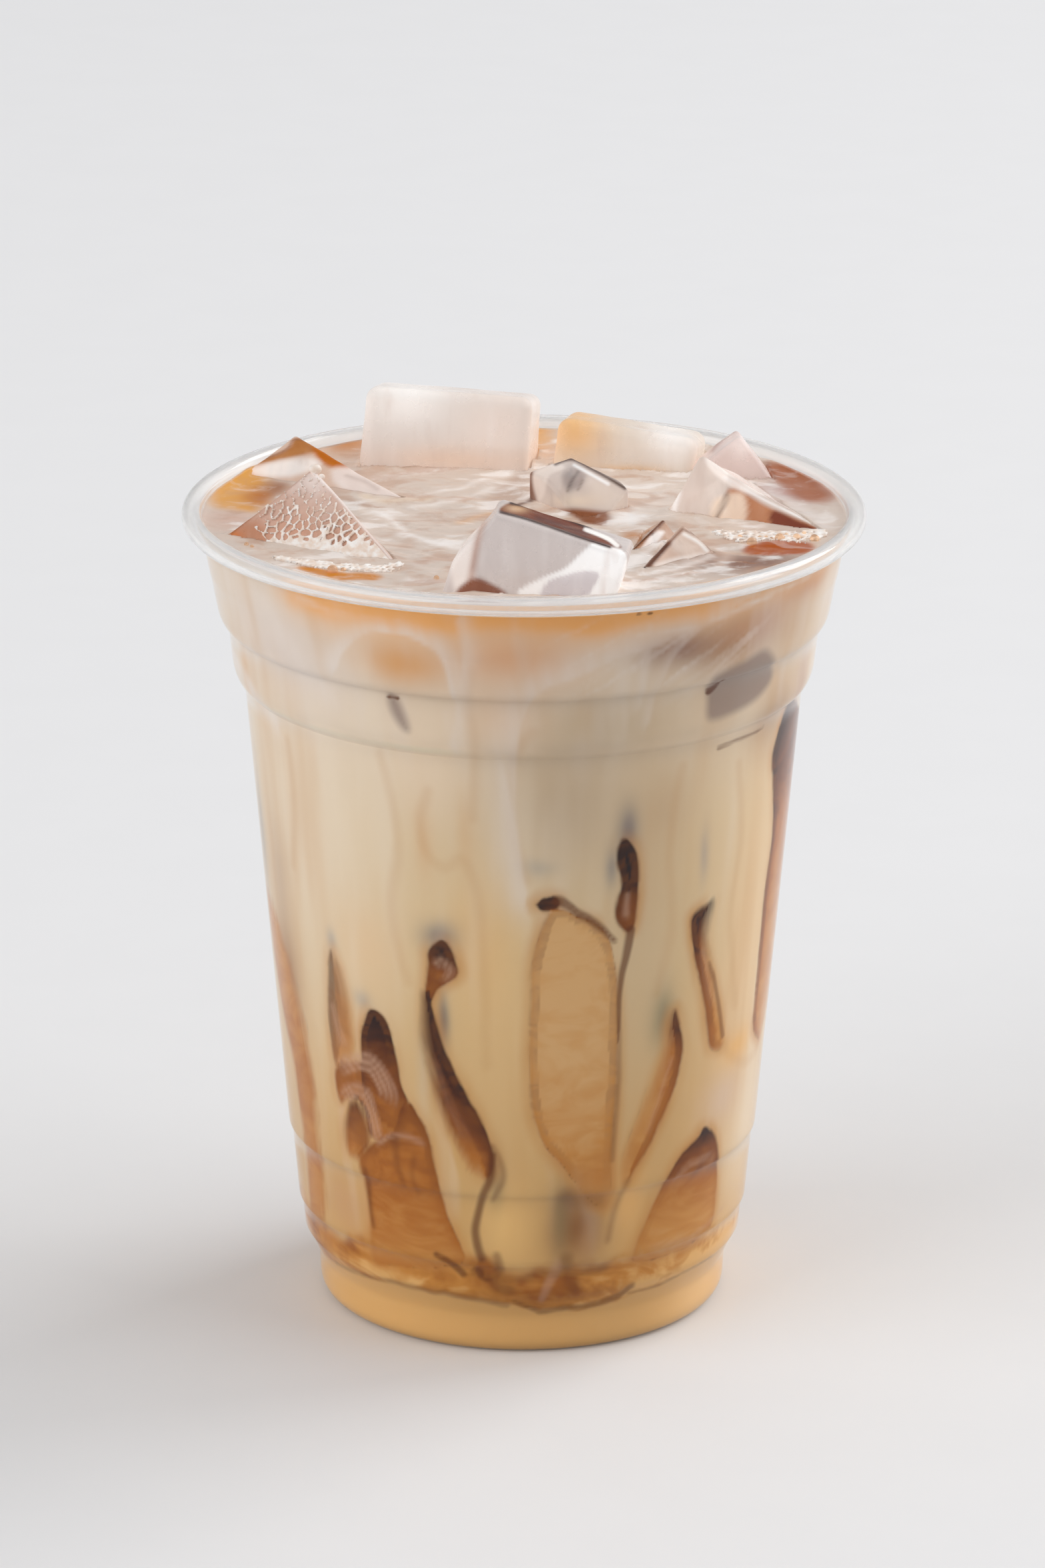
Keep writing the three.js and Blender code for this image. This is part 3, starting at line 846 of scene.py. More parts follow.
# thin brown lines as (angle, height) paths: half widths at both ends in millimetres, blur, strength
brownLines = [
    ([(-6.5, 32.5), (-7.4, 29), (-10, 25.1), (-11.5, 20.8), (-10.9, 17.9), (-9.9, 15.8)], (0.35, 0.3),
     0.7, 0.75),
    ([(-6.8, 33.5), (-4.9, 31.3), (-4.3, 28.7), (-7, 25.3)], (0.2, 0.05), 0.8, 0.4),
    ([(7.5, 71.8), (11.9, 70), (16, 67.5), (20.2, 64.8)], (0.5, 0.15), 0.7, 0.75),
    ([(23.7, 66.5), (22.7, 61.7), (22, 56.7), (22.2, 49)], (0.45, 0.1), 0.5, 0.75),
    ([(22.2, 51), (22.4, 45.3), (22.2, 30.8)], (0.1, 0.1), 0.7, 0.4),
    ([(-22, 15.8), (-18.6, 14.7), (-14.9, 12.8)], (0.2, 0.4), 0.6, 0.7),
    ([(-11, 13.5), (-9.5, 12.6), (-7, 12.2)], (0.5, 0.3), 0.7, 0.7),
    ([(45.8, 58.4), (49.7, 52), (53.1, 45.7)], (0.15, 0.3), 0.5, 0.5),
    ([(43.5, 91.4), (48.4, 91.9), (58.4, 92.2)], (0.25, 0.1), 0.4, 0.6),
    ([(26.4, 27), (23.5, 22.6), (22.1, 18)], (0.1, 0.05), 1, 0.35),
    ([(11, 26), (14.5, 25), (19, 24.4)], (0.5, 0.5), 1.6, 0.3),
    ([(-26.2, 101.6), (-25.4, 101.8), (-24.4, 101.6)], (0.15, 0.15), 0.35, 0.9),
    ([(37.4, 101.2), (38.6, 101.6), (40.2, 102.4)], (0.45, 0.15), 0.4, 0.9),
    ([(-41.3, 27), (-41.2, 22), (-40.3, 17.9)], (0.2, 0.1), 0.7, 0.5),
    ([(-31.9, 32.8), (-31.5, 29.2), (-29.9, 25.9)], (0.3, 0.1), 0.8, 0.35),
    ([(-26.5, 31), (-27.5, 28), (-26, 25)], (0.2, 0.1), 0.7, 0.25),
    ([(-12, 13.2), (-2, 12.6), (6, 13.4), (14, 13.2), (22, 13.8)], (0.3, 0.2), 0.9, 0.35),
    ([(20.1, 115.2), (20.5, 115.3)], (0.25, 0.25), 0.25, 0.8),
    ([(22, 115.2), (22.3, 115.2)], (0.2, 0.2), 0.25, 0.8),
    ([(-62, 7.9), (-38.3, 9.3), (-23.8, 9.3), (-11, 8.9), (-4, 8.1)], (0.1, 0.25), 0.7, 0.4),
    ([(-2, 8.6), (3.1, 7.2), (5.9, 6.7), (11.3, 7.1), (17.7, 7.4), (26.1, 8.2), (30, 9.4)], (0.15, 0.4),
     0.7, 0.55),
    ([(30, 8.4), (42.2, 8.8), (55, 9.5), (66, 9.2)], (0.15, 0.1), 0.5, 0.35),
    ([(-6.3, 16.3), (-5.6, 14.1), (-7, 11.9), (-3, 10.9)], (0.3, 0.5), 0.8, 0.5),
    ([(11.2, 15.7), (11.9, 12.8), (13.7, 10.6)], (0.5, 0.4), 1.2, 0.4),
]
# paler strands inside the coffee: half widths at both ends, spacing of the threads in one, strength
paleStrands = [
    ([(-48.2, 41.2), (-43.3, 43.4), (-38.7, 44.2), (-35, 42.6), (-32.7, 39.8), (-33.6, 37.8)], (1.2, 1.6),
     0.85, 0.75),
    ([(-47.6, 36.5), (-43.5, 39.1), (-39.7, 39), (-37.7, 36), (-36.5, 32.8), (-35.1, 31.6)], (1.2, 0.8),
     0.8, 0.75),
    ([(-19.8, 61), (-18, 62), (-16, 60.6), (-18.5, 58.4)], (0.5, 0.7), 0.7, 0.6),
    ([(-37.9, 31.4), (-31.9, 33.3), (-26.1, 33.5), (-23, 32.6)], (0.3, 0.3), 0, 0.5),
    ([(40, 25.4), (46.2, 27.6), (55.6, 26.7)], (0.3, 0.7), 0.9, 0.45),
    ([(65.1, 17.7), (49.4, 15.4), (31.4, 15.5)], (0.2, 0.3), 0, 0.35),
    ([(5.2, 8.1), (6.7, 11.4), (9, 14.5), (7.2, 15.8)], (0.4, 0.9), 0, 0.4),
    ([(-48.5, 52), (-46.5, 48), (-44.5, 45)], (0.4, 0.9), 0.7, 0.5),
    ([(22.6, 72.4), (22.4, 70), (22.6, 68)], (0.3, 0.5), 0, 0.5),
    ([(43, 62), (45.5, 56), (49, 50)], (0.3, 0.8), 0.8, 0.35),
    ([(36.6, 46), (34, 40), (30, 33)], (0.3, 0.5), 0.7, 0.35),
    ([(-20.6, 47), (-17, 40), (-12, 33)], (0.3, 0.8), 0.9, 0.15),
]
# white wisps under the rim, and one painted highlight: half widths to the left and right of the way they
# run, strength
milkWispsAndHighlight = [
    ([(-36.8, 105), (-34.5, 107.9), (-29.3, 111.1), (-24.6, 112.1), (-19.6, 111.9), (-16, 110.4),
     (-14, 107.5), (-13.3, 103.4)], (1.8, 0.35), 0.7),
    ([(47, 116), (33.8, 112.2), (20.9, 109.6), (8.9, 106.3), (1.7, 103.4), (-0.9, 97.5), (-2, 88),
     (-1.5, 80), (0.5, 73)], (0.5, 3.2), 0.45),
    ([(-53.1, 112.2), (-49.4, 108.9), (-45.9, 105), (-40, 101)], (1.5, 3), 0.35),
    ([(-85, 99), (-68, 96.3), (-61, 92)], (1.2, 2.2), 0.6),
    ([(22.6, 113), (22.2, 106.9), (22.1, 100.7)], (0.6, 1), 0.4),
    ([(-11, 114.8), (-10.1, 109.7), (-11.6, 103.6), (-13.4, 95)], (1.6, 0.8), 0.45),
    ([(64.4, 115.1), (49.1, 114.2), (39.5, 112.9), (31, 112.1), (20.6, 111.6)], (0.5, 0.5), 0.6),
    ([(36, 113), (30, 110), (26, 105), (24, 98)], (0.4, 1.2), 0.4),
    # a painted highlight: a light strip just under the rim on the left
    ([(-43, 114.4), (-32, 113.3), (-22, 113.8)], (0.7, 0.7), 0.36),
]
# faint threads in the milk
milkThreads = [
    [(-19.9, 87.3), (-21.6, 82.1), (-19.6, 77.7), (-16, 76.5), (-13.1, 77.7), (-10.1, 73.8), (-8.8, 66),
     (-8.4, 58), (-8.1, 46.2)],
    [(-9.6, 106.7), (-10.3, 101.3), (-9.4, 95.3), (-10.3, 84)],
    [(-57, 90), (-56.4, 81.1), (-59, 70.5)],
    [(1.8, 97.5), (-1.2, 94.4), (-2.3, 89.1), (-2, 81.1), (0.7, 75)],
    [(-30, 92), (-27, 80), (-29, 68), (-26, 58)],
    [(34, 90), (32, 78), (34, 66), (31, 56)],
    [(50, 88), (53, 76), (52, 64), (57, 50)],
    [(53.4, 44.1), (58.4, 41.3), (66.1, 39.3), (73.4, 39.5)],
]
sunkIce = [  # ice that rests against the wall
    [(37.4, 99.8), (37.2, 103.1), (40, 104.2), (44.8, 104.9), (50.6, 105.4), (56, 100.7), (52.1, 97.9),
     (44.4, 96.7), (38.4, 96.7)],
    [(-26.2, 101.9), (-24.6, 101.7), (-22.8, 98.8), (-22.4, 96.8), (-24, 97.2), (-26, 99.6)],
]
# tints of the milk, partly its own colours and partly painted light and shade (broad lighter and darker
# patches across the wall, grey-blue shade above some windows): angle, height, half width, half height,
# colour, strength
milkTintsAndShade = [
    (-55, 82, 16, 36, (244, 230, 211), 0.8), (-50, 106, 12, 9, (235, 221, 211), 0.85),
    (-4, 56, 5, 26, (242, 209, 156), 0.8), (28, 68, 7, 28, (225, 200, 163), 0.8),
    (8, 86, 10, 12, (210, 187, 157), 0.9), (-36, 62, 6, 7, (241, 211, 172), 0.7),
    (60, 58, 9, 30, (244, 215, 176), 0.8), (70, 30, 7, 12, (243, 222, 193), 0.9),
    (56, 36, 5, 4, (231, 204, 179), 0.8), (-22, 107.5, 6, 3.4, (232, 174, 110), 0.9),
    (29, 109, 6, 2.6, (160, 123, 109), 0.9), (40, 108, 6, 3.4, (172, 127, 92), 0.8),
    (-2, 109, 8, 4, (235, 181, 135), 0.8), (16, 98, 9, 3.6, (207, 184, 152), 0.7),
    (58, 108, 6, 5, (214, 181, 144), 0.7), (-12, 82, 1.2, 6, (226, 186, 136), 0.5),
    (-21, 80, 1.4, 5, (230, 188, 140), 0.5), (-70, 98, 2, 6, (230, 186, 136), 0.6),
    (14, 20.5, 4.2, 5.5, (152, 98, 54), 0.9), (16.5, 18, 1.2, 3.5, (200, 154, 108), 0.5),
    (11, 25, 1.8, 2.5, (158, 116, 88), 0.6), (-50, 20, 4, 5, (216, 170, 126), 0.7),
    (-45, 12.8, 2, 2.5, (200, 126, 48), 0.9), (22.2, 81.6, 1.5, 3.6, (138, 130, 130), 0.85),
    (-17.8, 65.6, 2.7, 2.2, (130, 128, 134), 0.8), (-18.2, 53, 0.9, 4.2, (96, 90, 88), 0.9),
    (41.7, 75.7, 0.9, 4, (180, 170, 166), 0.5), (33.2, 52, 2, 4.5, (160, 148, 118), 0.8),
    (-6, 27, 1.1, 4.5, (130, 112, 88), 0.7), (9.4, 22, 1.3, 6, (146, 128, 92), 0.6),
    (-79, 72, 2.2, 9, (150, 140, 134), 0.6), (3, 76.8, 2.6, 1.2, (172, 164, 151), 0.6),
    (18.7, 76, 0.9, 3, (150, 144, 142), 0.7), (-38.5, 53.6, 1.6, 1.4, (184, 176, 168), 0.6),
    (-46.8, 61.5, 1, 1.6, (186, 180, 174), 0.6), (-22.8, 45, 1.2, 6, (216, 200, 170), 0.5),
    (30, 84, 4, 5, (214, 185, 150), 0.5), (-4, 21, 4, 6, (249, 208, 139), 0.8),
    (27, 24, 3, 6, (245, 196, 127), 0.8), (60, 94, 5, 6, (200, 167, 135), 0.85),
    (71, 96, 3, 6, (206, 169, 140), 0.85), (46, 110, 7, 3.5, (206, 158, 128), 0.85),
    (60, 113.5, 6, 2, (197, 141, 108), 0.85), (-67, 68, 3.5, 9, (216, 190, 162), 0.8),
    (-67, 52, 4, 9, (184, 138, 94), 0.9), (58, 4, 9, 5, (250, 208, 150), 0.8),
    (30, 4, 7, 5, (230, 186, 124), 0.6), (-20, 92, 6, 8, (246, 225, 199), 0.7),
    (-4, 100, 5, 5, (240, 207, 175), 0.6), (60, 43, 4, 2.6, (246, 196, 122), 0.8),
    (-10, 64, 4, 9, (242, 200, 140), 0.5), (18.8, 28.5, 2, 3, (206, 124, 46), 0.75),
]
# the milk's own colour by height
milkBase = [
    (0, (238, 189, 121)), (20, (220, 178, 116)), (40, (226, 188, 130)), (60, (232, 203, 154)),
    (80, (236, 212, 174)), (95, (238, 218, 192)), (117, (238, 219, 199)),
]
# painted light at the shoulders' bends, for light that passes on inside the milk: height, gain
kneePaintedLight = [(94, 0.14), (102.9, 0.1)]
# how pale the amber at the foot is, by angle, and the height where it ends below
amberTones = [
    (-180, 0.5), (-80, 0.4), (-52, 0.24), (-36, 0.62), (-20, 0.4), (-4, 0.14), (12, 0.15), (28, 0.52),
    (44, 0.8), (60, 0.88), (75, 0.95), (180, 0.5),
]
footLevels = [
    (-180, 8.5), (-70, 7.5), (-38, 9.3), (-24, 9.3), (-11, 8.9), (-4, 8.1), (3, 7), (16, 6.8), (26, 7.4),
    (33, 8.2), (42, 8.7), (55, 9.4), (70, 9.2), (180, 8.5),
]


def backWindows():
    # the side that is turned away, in the same manner
    draw = np.random.default_rng(11)
    found = []
    for angle in np.linspace(100, 262, 11):
        top = draw.uniform(34, 80)
        length = top - draw.uniform(11, 22) if draw.random() < 0.6 else draw.uniform(18, 30)
        wide = draw.uniform(1.6, 4.5) * (2.4 if draw.random() < 0.35 else 1)
        lean = draw.uniform(-8, 8)
        left, right = [], []
        for share, width in ((0, 0.1), (0.06, 0.5), (0.3, 0.85), (0.62, 1), (0.88, 0.7), (1, 0.25)):
            middle = angle + lean * share + draw.uniform(-1.2, 1.2) * share
            left.append((middle - wide * width, top - share * length))
            right.append((middle + wide * width, top - share * length))
        dark, pale = draw.uniform(0.02, 0.3), draw.uniform(0.5, 0.95)
        middle = (top - 0.4 * length, (dark + pale) / 2)
        found.append({
            "outline": right + left[::-1],
            "soft": draw.uniform(0.35, 0.9, 2),
            "line": draw.uniform(0.2, 0.8, 2),
            "veil": 0.1,
            "cross": draw.uniform(-0.2, 0.2),
            "tones": [(top - length, pale), middle, (top, dark)],
        })
    return found


def backTints():
    draw = np.random.default_rng(5)
    shades = [(246, 232, 212), (207, 189, 154), (230, 188, 140), (243, 210, 166), (178, 140, 122)]
    ranges = ((95, 265), (20, 112), (4, 12), (6, 20))
    return [(*(draw.uniform(*r) for r in ranges), shades[k % len(shades)], 0.7) for k in range(14)]


def wallRadius(height):
    return drinkShape["wallFoot"] + drinkShape["wallTaper"] * height


def wrapped(angle):
    return (angle + 180) % 360 - 180


def unrolled(angle, height):
    # millimetres along the wall and up it
    return np.stack([np.radians(angle) * wallRadius(height), height], -1)


def curveField(points, closed, angle, height, reach):
    # the distance, side and way along for a curve on the wall
    curve = curveThrough(points, closed)
    middle = curve[:, 0].mean()
    spot = unrolled(middle + wrapped(angle - middle), height)
    return planeField(unrolled(*curve.T), closed, spot, reach)


def between(pair, share):
    return pair[0] + (pair[1] - pair[0]) * share


def milkTint(angle, height):
    # the milk's colour, from its height and its tints, with painted light and shade in some tints and at
    # the shoulders' bends
    heights, colours = zip(*milkBase)
    shades = np.array([srgb(*colour)[:3] for colour in colours])
    tint = np.stack([np.interp(height, heights, shade) for shade in shades.T], -1)
    # some of these tints are painted light and shade
    for middle, level, wide, tall, colour, strength in milkTintsAndShade + backTints():
        along = np.radians(wrapped(angle - middle)) * wallRadius(height)
        share = strength * np.exp(-((along / wide) ** 2) - ((height - level) / tall) ** 2)
        tint += share[:, None] * (np.array(srgb(*colour)[:3]) - tint)
    # painted light at the shoulders' bends
    for level, gain in kneePaintedLight:
        tint *= 1 + gain * np.exp(-(((height - level) / drinkShape["kneeReach"]) ** 2))[:, None]
    return np.minimum(tint, drinkShape["palest"])


def windowFields(fields, angle, level):
    reach = drinkShape["windowReach"]
    fields["coffee"] = np.full(len(angle), -9.0)  # far outside
    fields["fringe"] = np.full(len(angle), reach)
    for name in ("tone", "outline", "veil"):
        fields[name] = np.zeros(len(angle))
    for window in [*coffeeWindows.values(), *backWindows()]:
        distance, side, _ = curveField(window["outline"], True, angle, level, reach)
        soft = between(window["soft"], 0.5 + 0.5 * side)
        over = distance < 0.5 * soft
        fields["coffee"] = np.maximum(fields["coffee"], -distance / soft)
        heights, tones = zip(*window["tones"])
        edge = np.exp(np.minimum(distance, 0) / drinkShape["edgeDepth"])
        cross = window.get("cross", 0) * side * edge**0.5
        shade = np.interp(level, heights, tones) + cross - 0.1 * edge
        fields["tone"] = np.where(over, shade, fields["tone"])
        low, high = window.get("fade", (-2, -1))  # where it fades out downwards
        shown = smoothStep(low, high, level)
        fields["veil"] = np.where(over, 1 - (1 - window.get("veil", 0)) * shown, fields["veil"])
        fainter = 0.15 + 0.85 * smoothStep(22, 40, level)
        line = between(window["line"], 0.5 + 0.5 * side) * fainter * shown
        fields["outline"] = np.where(np.abs(distance) < drinkShape["lineReach"], line, fields["outline"])
        spread = reach if max(window["soft"]) > 2 else 0.0  # very soft windows have no fringe
        fields["fringe"] = np.minimum(fields["fringe"], np.maximum(distance, -0.2) + spread)


def strokeFields(fields, angle, level):
    reach = drinkShape["strokeReach"]
    fields["brown"] = np.full(len(angle), 3.0)
    fields["brownStrength"] = np.zeros(len(angle))
    for path, wide, blur, strength in brownLines:
        distance, _, along = curveField(path, False, angle, level, reach)
        value = (distance - between(wide, along)) / blur
        fields["brownStrength"] = np.where(value < fields["brown"], strength, fields["brownStrength"])
        fields["brown"] = np.minimum(fields["brown"], value)
    fields["strand"] = np.zeros(len(angle))
    for path, wide, stripe, strength in paleStrands:
        distance, side, along = curveField(path, False, angle, level, reach)
        half = between(wide, along)
        mask = strength * smoothStep(half + 0.5, half - 0.4, distance)
        mask *= smoothStep(0, 0.15, along) * smoothStep(1, 0.7, along)
        if stripe:
            drift = 0.6 * wallNoise(angle, level, 4, 5, 131) + 0.25 * along
            mask *= 0.66 + 0.24 * np.cos(2 * np.pi * (side * distance / stripe + drift))
        fields["strand"] = np.maximum(fields["strand"], mask)
    wispAndHighlight = 0.3 * smoothStep(0.05, 0.8, wallNoise(angle, level, 6, 18, 101)) * smoothStep(86, 100, level)
    for path, (left, right), strength in milkWispsAndHighlight:
        distance, side, _ = curveField(path, False, angle, level, drinkShape["wispReach"])
        spread = np.where(side > 0, left, right)
        wispAndHighlight = np.maximum(wispAndHighlight, strength * np.exp(-((distance / spread) ** 2)))
    fan = smoothStep(-12, 6, angle) * smoothStep(62, 40, angle) * smoothStep(97, 106, level)
    rays = layers((angle - 2.2 * (level - 100)) / 3 + 200, (level + angle / 4) / 16 + 20, 121, 120)
    wispAndHighlight = np.maximum(wispAndHighlight, 0.5 * fan * smoothStep(0.0, 0.7, rays))
    fields["wispAndHighlight"] = wispAndHighlight * (0.8 + 0.5 * layers(angle / 2 + level / 9 + 180, level / 30, 111, 180))
    nearestField("thread", fields, milkThreads, False, angle, level)


def nearestField(name, fields, paths, closed, angle, level):
    reach = drinkShape["threadReach"]
    fields[name] = np.full(len(angle), reach)
    for path in paths:
        fields[name] = np.minimum(fields[name], curveField(path, closed, angle, level, reach)[0])


def swirlFields(verts):
    turn = np.degrees(np.arctan2(verts[:, 0], -verts[:, 1]))
    height = verts[:, 2]
    angle = turn + 0.5 * wallNoise(turn, height, 6, 8, 21)
    level = height + 0.5 * wallNoise(turn, height, 6, 6, 31)
    fields = {"milk": milkTint(angle, level)}
    windowFields(fields, angle, level)
    strokeFields(fields, angle, level)
    nearestField("sunkIce", fields, sunkIce, True, turn, height)
    flow = layers(angle / 10 + 36 + 0.4 * np.exp(-np.maximum(fields["fringe"], 0) / 2), level / 40, 41, 36)
    fields["flow"] = (flow + 0.3 * wallNoise(angle, level, 3.6, 60, 51)) * smoothStep(6, 24, level)
    halo = 0.5 + 0.9 * wallNoise(angle, level, 5, 14, 61) + 0.3 * smoothStep(60, 20, level)
    fields["halo"] = np.clip(halo, 0, 1)
    side = smoothStep(-56, -36, turn) * smoothStep(88, 66, turn) * (1 - 0.5 * smoothStep(28, 48, turn))
    side = np.where(np.abs(turn) > 95, 0.5 + 0.5 * wallNoise(angle, 0 * level, 20, 1, 75), side)
    crema = level + 1.4 * wallNoise(angle, level, 12, 30, 71)
    fields["crema"] = side * (0.35 * smoothStep(107, 112, crema) + 0.65 * smoothStep(111, 115, crema))
    ragged = level + 2.6 * wallNoise(angle, level, 9, 7, 81)
    under = level - np.interp(turn, *zip(*footLevels)) + 0.5 * wallNoise(angle, level, 5, 5, 141)
    fields["amber"] = smoothStep(17.0, 12.5, ragged) * smoothStep(-0.6, 0.9, under)
    tone = np.interp(turn, *zip(*amberTones)) + 0.4 * wallNoise(angle, level, 5, 4, 91)
    fields["amberTone"] = tone + 0.35 * np.exp(-((under - 1.2) ** 2))
    return fields


def iceDepth(lump, x, y, shrink):
    # where an upright line through (x, y) enters and leaves a lump
    turn = turnOf(lump)
    half = np.array(lump["size"]) / 2 - shrink
    local = (np.stack([x, y, np.zeros_like(x)], -1) - np.array(lump["centre"])) @ turn
    low, high = np.full(x.shape, -1e6), np.full(x.shape, 1e6)
    for k in range(3):
        slope = turn[2][k] if abs(turn[2][k]) > 1e-6 else 1e-6
        one, two = (-half[k] - local[:, k]) / slope, (half[k] - local[:, k]) / slope
        low, high = np.maximum(low, np.minimum(one, two)), np.minimum(high, np.maximum(one, two))
    return low, high


def iceGap(lump, x, y, z):
    # distance to a lump's surface, less than nothing inside
    local = (np.stack([x, y, np.full_like(x, z)], -1) - np.array(lump["centre"])) @ turnOf(lump)
    over = np.abs(local) - np.array(lump["size"]) / 2 + lump["edge"]
    return np.linalg.norm(np.maximum(over, 0), axis=1) + np.minimum(over.max(1), 0) - lump["edge"]


def openHeight(x, y):
    # the drink's level with its ripples and the rise at the ice
    inner = smoothStep(46, 38, np.hypot(x, y))
    swell = 0.28 * layers(x / 5 + y / 9 + noiseShift, y / 4 + noiseShift, 201)
    swell += 0.1 * flatNoise(x, y, 2, 211)
    height = drinkShape["level"] + swell * (0.3 + 0.7 * inner)
    rise, reach = drinkShape["iceMeniscus"]
    for lump in iceLumps:
        gap = np.maximum(iceGap(lump, x, y, drinkShape["level"]), 0)
        height += rise * np.exp(-gap / reach)
    return height


def topHeight(x, y, wall):
    # the same with the rise at the cup, and let down where ice sits in it
    level, away = drinkShape["level"], np.hypot(x, y)
    rise, reach = drinkShape["wallMeniscus"]
    height = openHeight(x, y) + rise * np.exp(-np.maximum(wall - away, 0) / reach)
    inner = away < wall - drinkShape["film"]
    for lump in iceLumps:
        low, high = iceDepth(lump, x, y, drinkShape["iceInset"])
        sunk = inner & (high > low) & (high > level) & (low < level)
        seat = np.maximum(low, level - drinkShape["iceSeat"])
        height = np.where(sunk, np.minimum(height, seat), height)
    return height


topBase = (217, 200, 187)
topMarks = [  # what shows at the surface, as (x, y)
    # a painted sheen: a pale lilac reflection on the drink, right of the ice
    ("spot", (38.8, 13.7), (7, 6), (204, 174, 170), 0.85),
    ("spot", (-41.8, -1.9), (4, 6), (214, 178, 160), 0.85),
    ("spot", (16.2, 11), (6, 8), (240, 226, 216), 0.8),
    ("spot", (31.5, -22.6), (10, 5.5), (132, 88, 68), 0.95),
    ("spot", (-26.2, 39.7), (5, 8), (198, 134, 80), 0.95),
    ("spot", (2.1, 43.4), (2.5, 9), (232, 170, 98), 0.9),
    ("fill", [(-45.2, 13.8), (-43.6, 23.5), (-41.2, 26.2), (-37.4, 21.5), (-36.7, 10.3), (-38.6, 3),
     (-41.4, 3.4), (-44.8, 5.5)], (0, 2), (226, 160, 70), 0.95),
    ("spot", (-37.8, 10.4), (2.6, 5), (188, 108, 26), 0.95),
    ("spot", (-35.8, 14.6), (2, 4), (150, 86, 38), 0.8),
    ("fill", [(-31.2, -25.3), (-26.5, -26.9), (-20.7, -28.8), (-21.2, -32), (-26.4, -31.1),
     (-30.9, -27.9)], (0, 0.9), (208, 130, 36), 1),
    ("fill", [(35.5, 28), (40.2, 25), (43.8, 16), (43.4, 8.5), (39.6, 9.5), (37.2, 16.5), (34.8, 23.5)],
     (0, 1.8), (168, 100, 66), 1),
    ("fill", [(31.2, -14), (35.6, -11.5), (40.3, -12), (40.2, -16.8), (36, -19.3), (31.8, -18.3)],
     (0, 0.9), (174, 80, 2), 1),
    ("fill", [(4.7, 7.7), (9, 7), (12.7, 0.5), (11.2, -3.7), (6.8, 0.1)], (0, 0.8), (132, 70, 28), 0.95),
    ("fill", [(-5.5, 4), (-4.2, 12), (-1.2, 22), (1.4, 22.2), (1.2, 9.6), (-1.4, 5.6)], (0, 1.2),
     (192, 166, 150), 0.85),
    ("line", [(-3.6, 3.8), (-1.1, 6.9), (1.3, 8.7)], (0.3, 0.5), (92, 54, 44), 0.85),
    ("spot", (15.2, -9.4), (1.6, 3), (190, 120, 54), 0.9),
    ("line", [(-27.4, 10.3), (-23.5, 6.8), (-20.6, 5.1)], (0.5, 1), (176, 132, 104), 0.7),
    ("line", [(-9.3, -2.9), (-6.3, -0.4), (-3.6, 1.3)], (0.8, 1.6), (228, 178, 132), 0.75),
    ("line", [(-17.7, -8.4), (-11.8, -13.4), (-7.9, -15.7)], (0.5, 1.2), (253, 247, 243), 0.8),
    ("line", [(-21.5, 2.5), (-18.4, -3), (-16.4, -9.4)], (0.5, 1.2), (254, 248, 243), 0.85),
    ("line", [(-15.9, 4.7), (-10.2, 8.2), (-4.5, 14.3)], (0.5, 1.4), (250, 242, 236), 0.7),
    ("line", [(-14.1, 13.1), (-8.3, 16.7), (-2.1, 22.5)], (0.4, 1.4), (250, 241, 235), 0.6),
    ("line", [(-21.4, 20.8), (-13.3, 24.5), (-4.5, 26.8)], (0.8, 1.6), (252, 246, 242), 0.7),
    ("line", [(-14.5, -23.8), (-11.4, -21.1), (-8.9, -23.7)], (0.5, 1.2), (214, 190, 178), 0.7),
    ("line", [(-16.2, -31), (-12.5, -32.3), (-8.9, -32.2)], (0.5, 1.2), (250, 242, 238), 0.7),
    ("line", [(17.5, -28.3), (21.7, -25), (26.2, -20)], (0.5, 1.1), (248, 238, 232), 0.75),
    ("line", [(14.3, -25.4), (16.4, -20.8), (20.5, -10.7)], (0.4, 1), (250, 240, 234), 0.7),
    ("line", [(13.7, -31.3), (18.4, -30.9), (23.5, -27.6)], (0.25, 0.8), (196, 148, 122), 0.7),
    ("line", [(25.7, -12), (28.4, -18), (27.3, -24.6)], (0.6, 1.4), (226, 200, 184), 0.7),
    ("spot", (15, -0.5), (2, 4), (253, 248, 245), 0.9),
    ("line", [(-23.1, 10.5), (-19.3, 8.1), (-14, 9.6)], (0.5, 1.4), (246, 220, 190), 0.6),
    ("line", [(34.9, 12.2), (39.5, 4.6), (42.9, -4.3)], (0.8, 2.2), (240, 228, 222), 0.7),
]


def swayed(x, y, size, seed):
    return np.stack([flatNoise(x, y, size, seed), flatNoise(x, y, size, seed + 10)], -1)


def topFields(verts):
    x, y = verts[:, :2].T
    points = verts[:, :2] + 0.9 * swayed(x, y, 5, 221)
    across, along = (points + 3.5 * swayed(x, y, 16, 251)).T
    streak = layers(across / 9 + along / 14 + noiseShift, along / 4 - across / 10 + noiseShift, 241)
    paint = painted(topBase, topMarks, points)
    milky = smoothStep(0.75, 0.45, 1 - paint.min(1) / paint.max(1))  # coffee stays without streaks
    return {"paint": paint, "topStreak": streak * milky * smoothStep(47, 40, np.hypot(x, y))}


def laid(tree, colour, name, low, high, most, tint):
    # a tint laid over a colour as a field runs from low to high
    return mixed(tree, ranged(tree, field(tree, name), low, high, 0.0, most), colour, srgb(*tint))


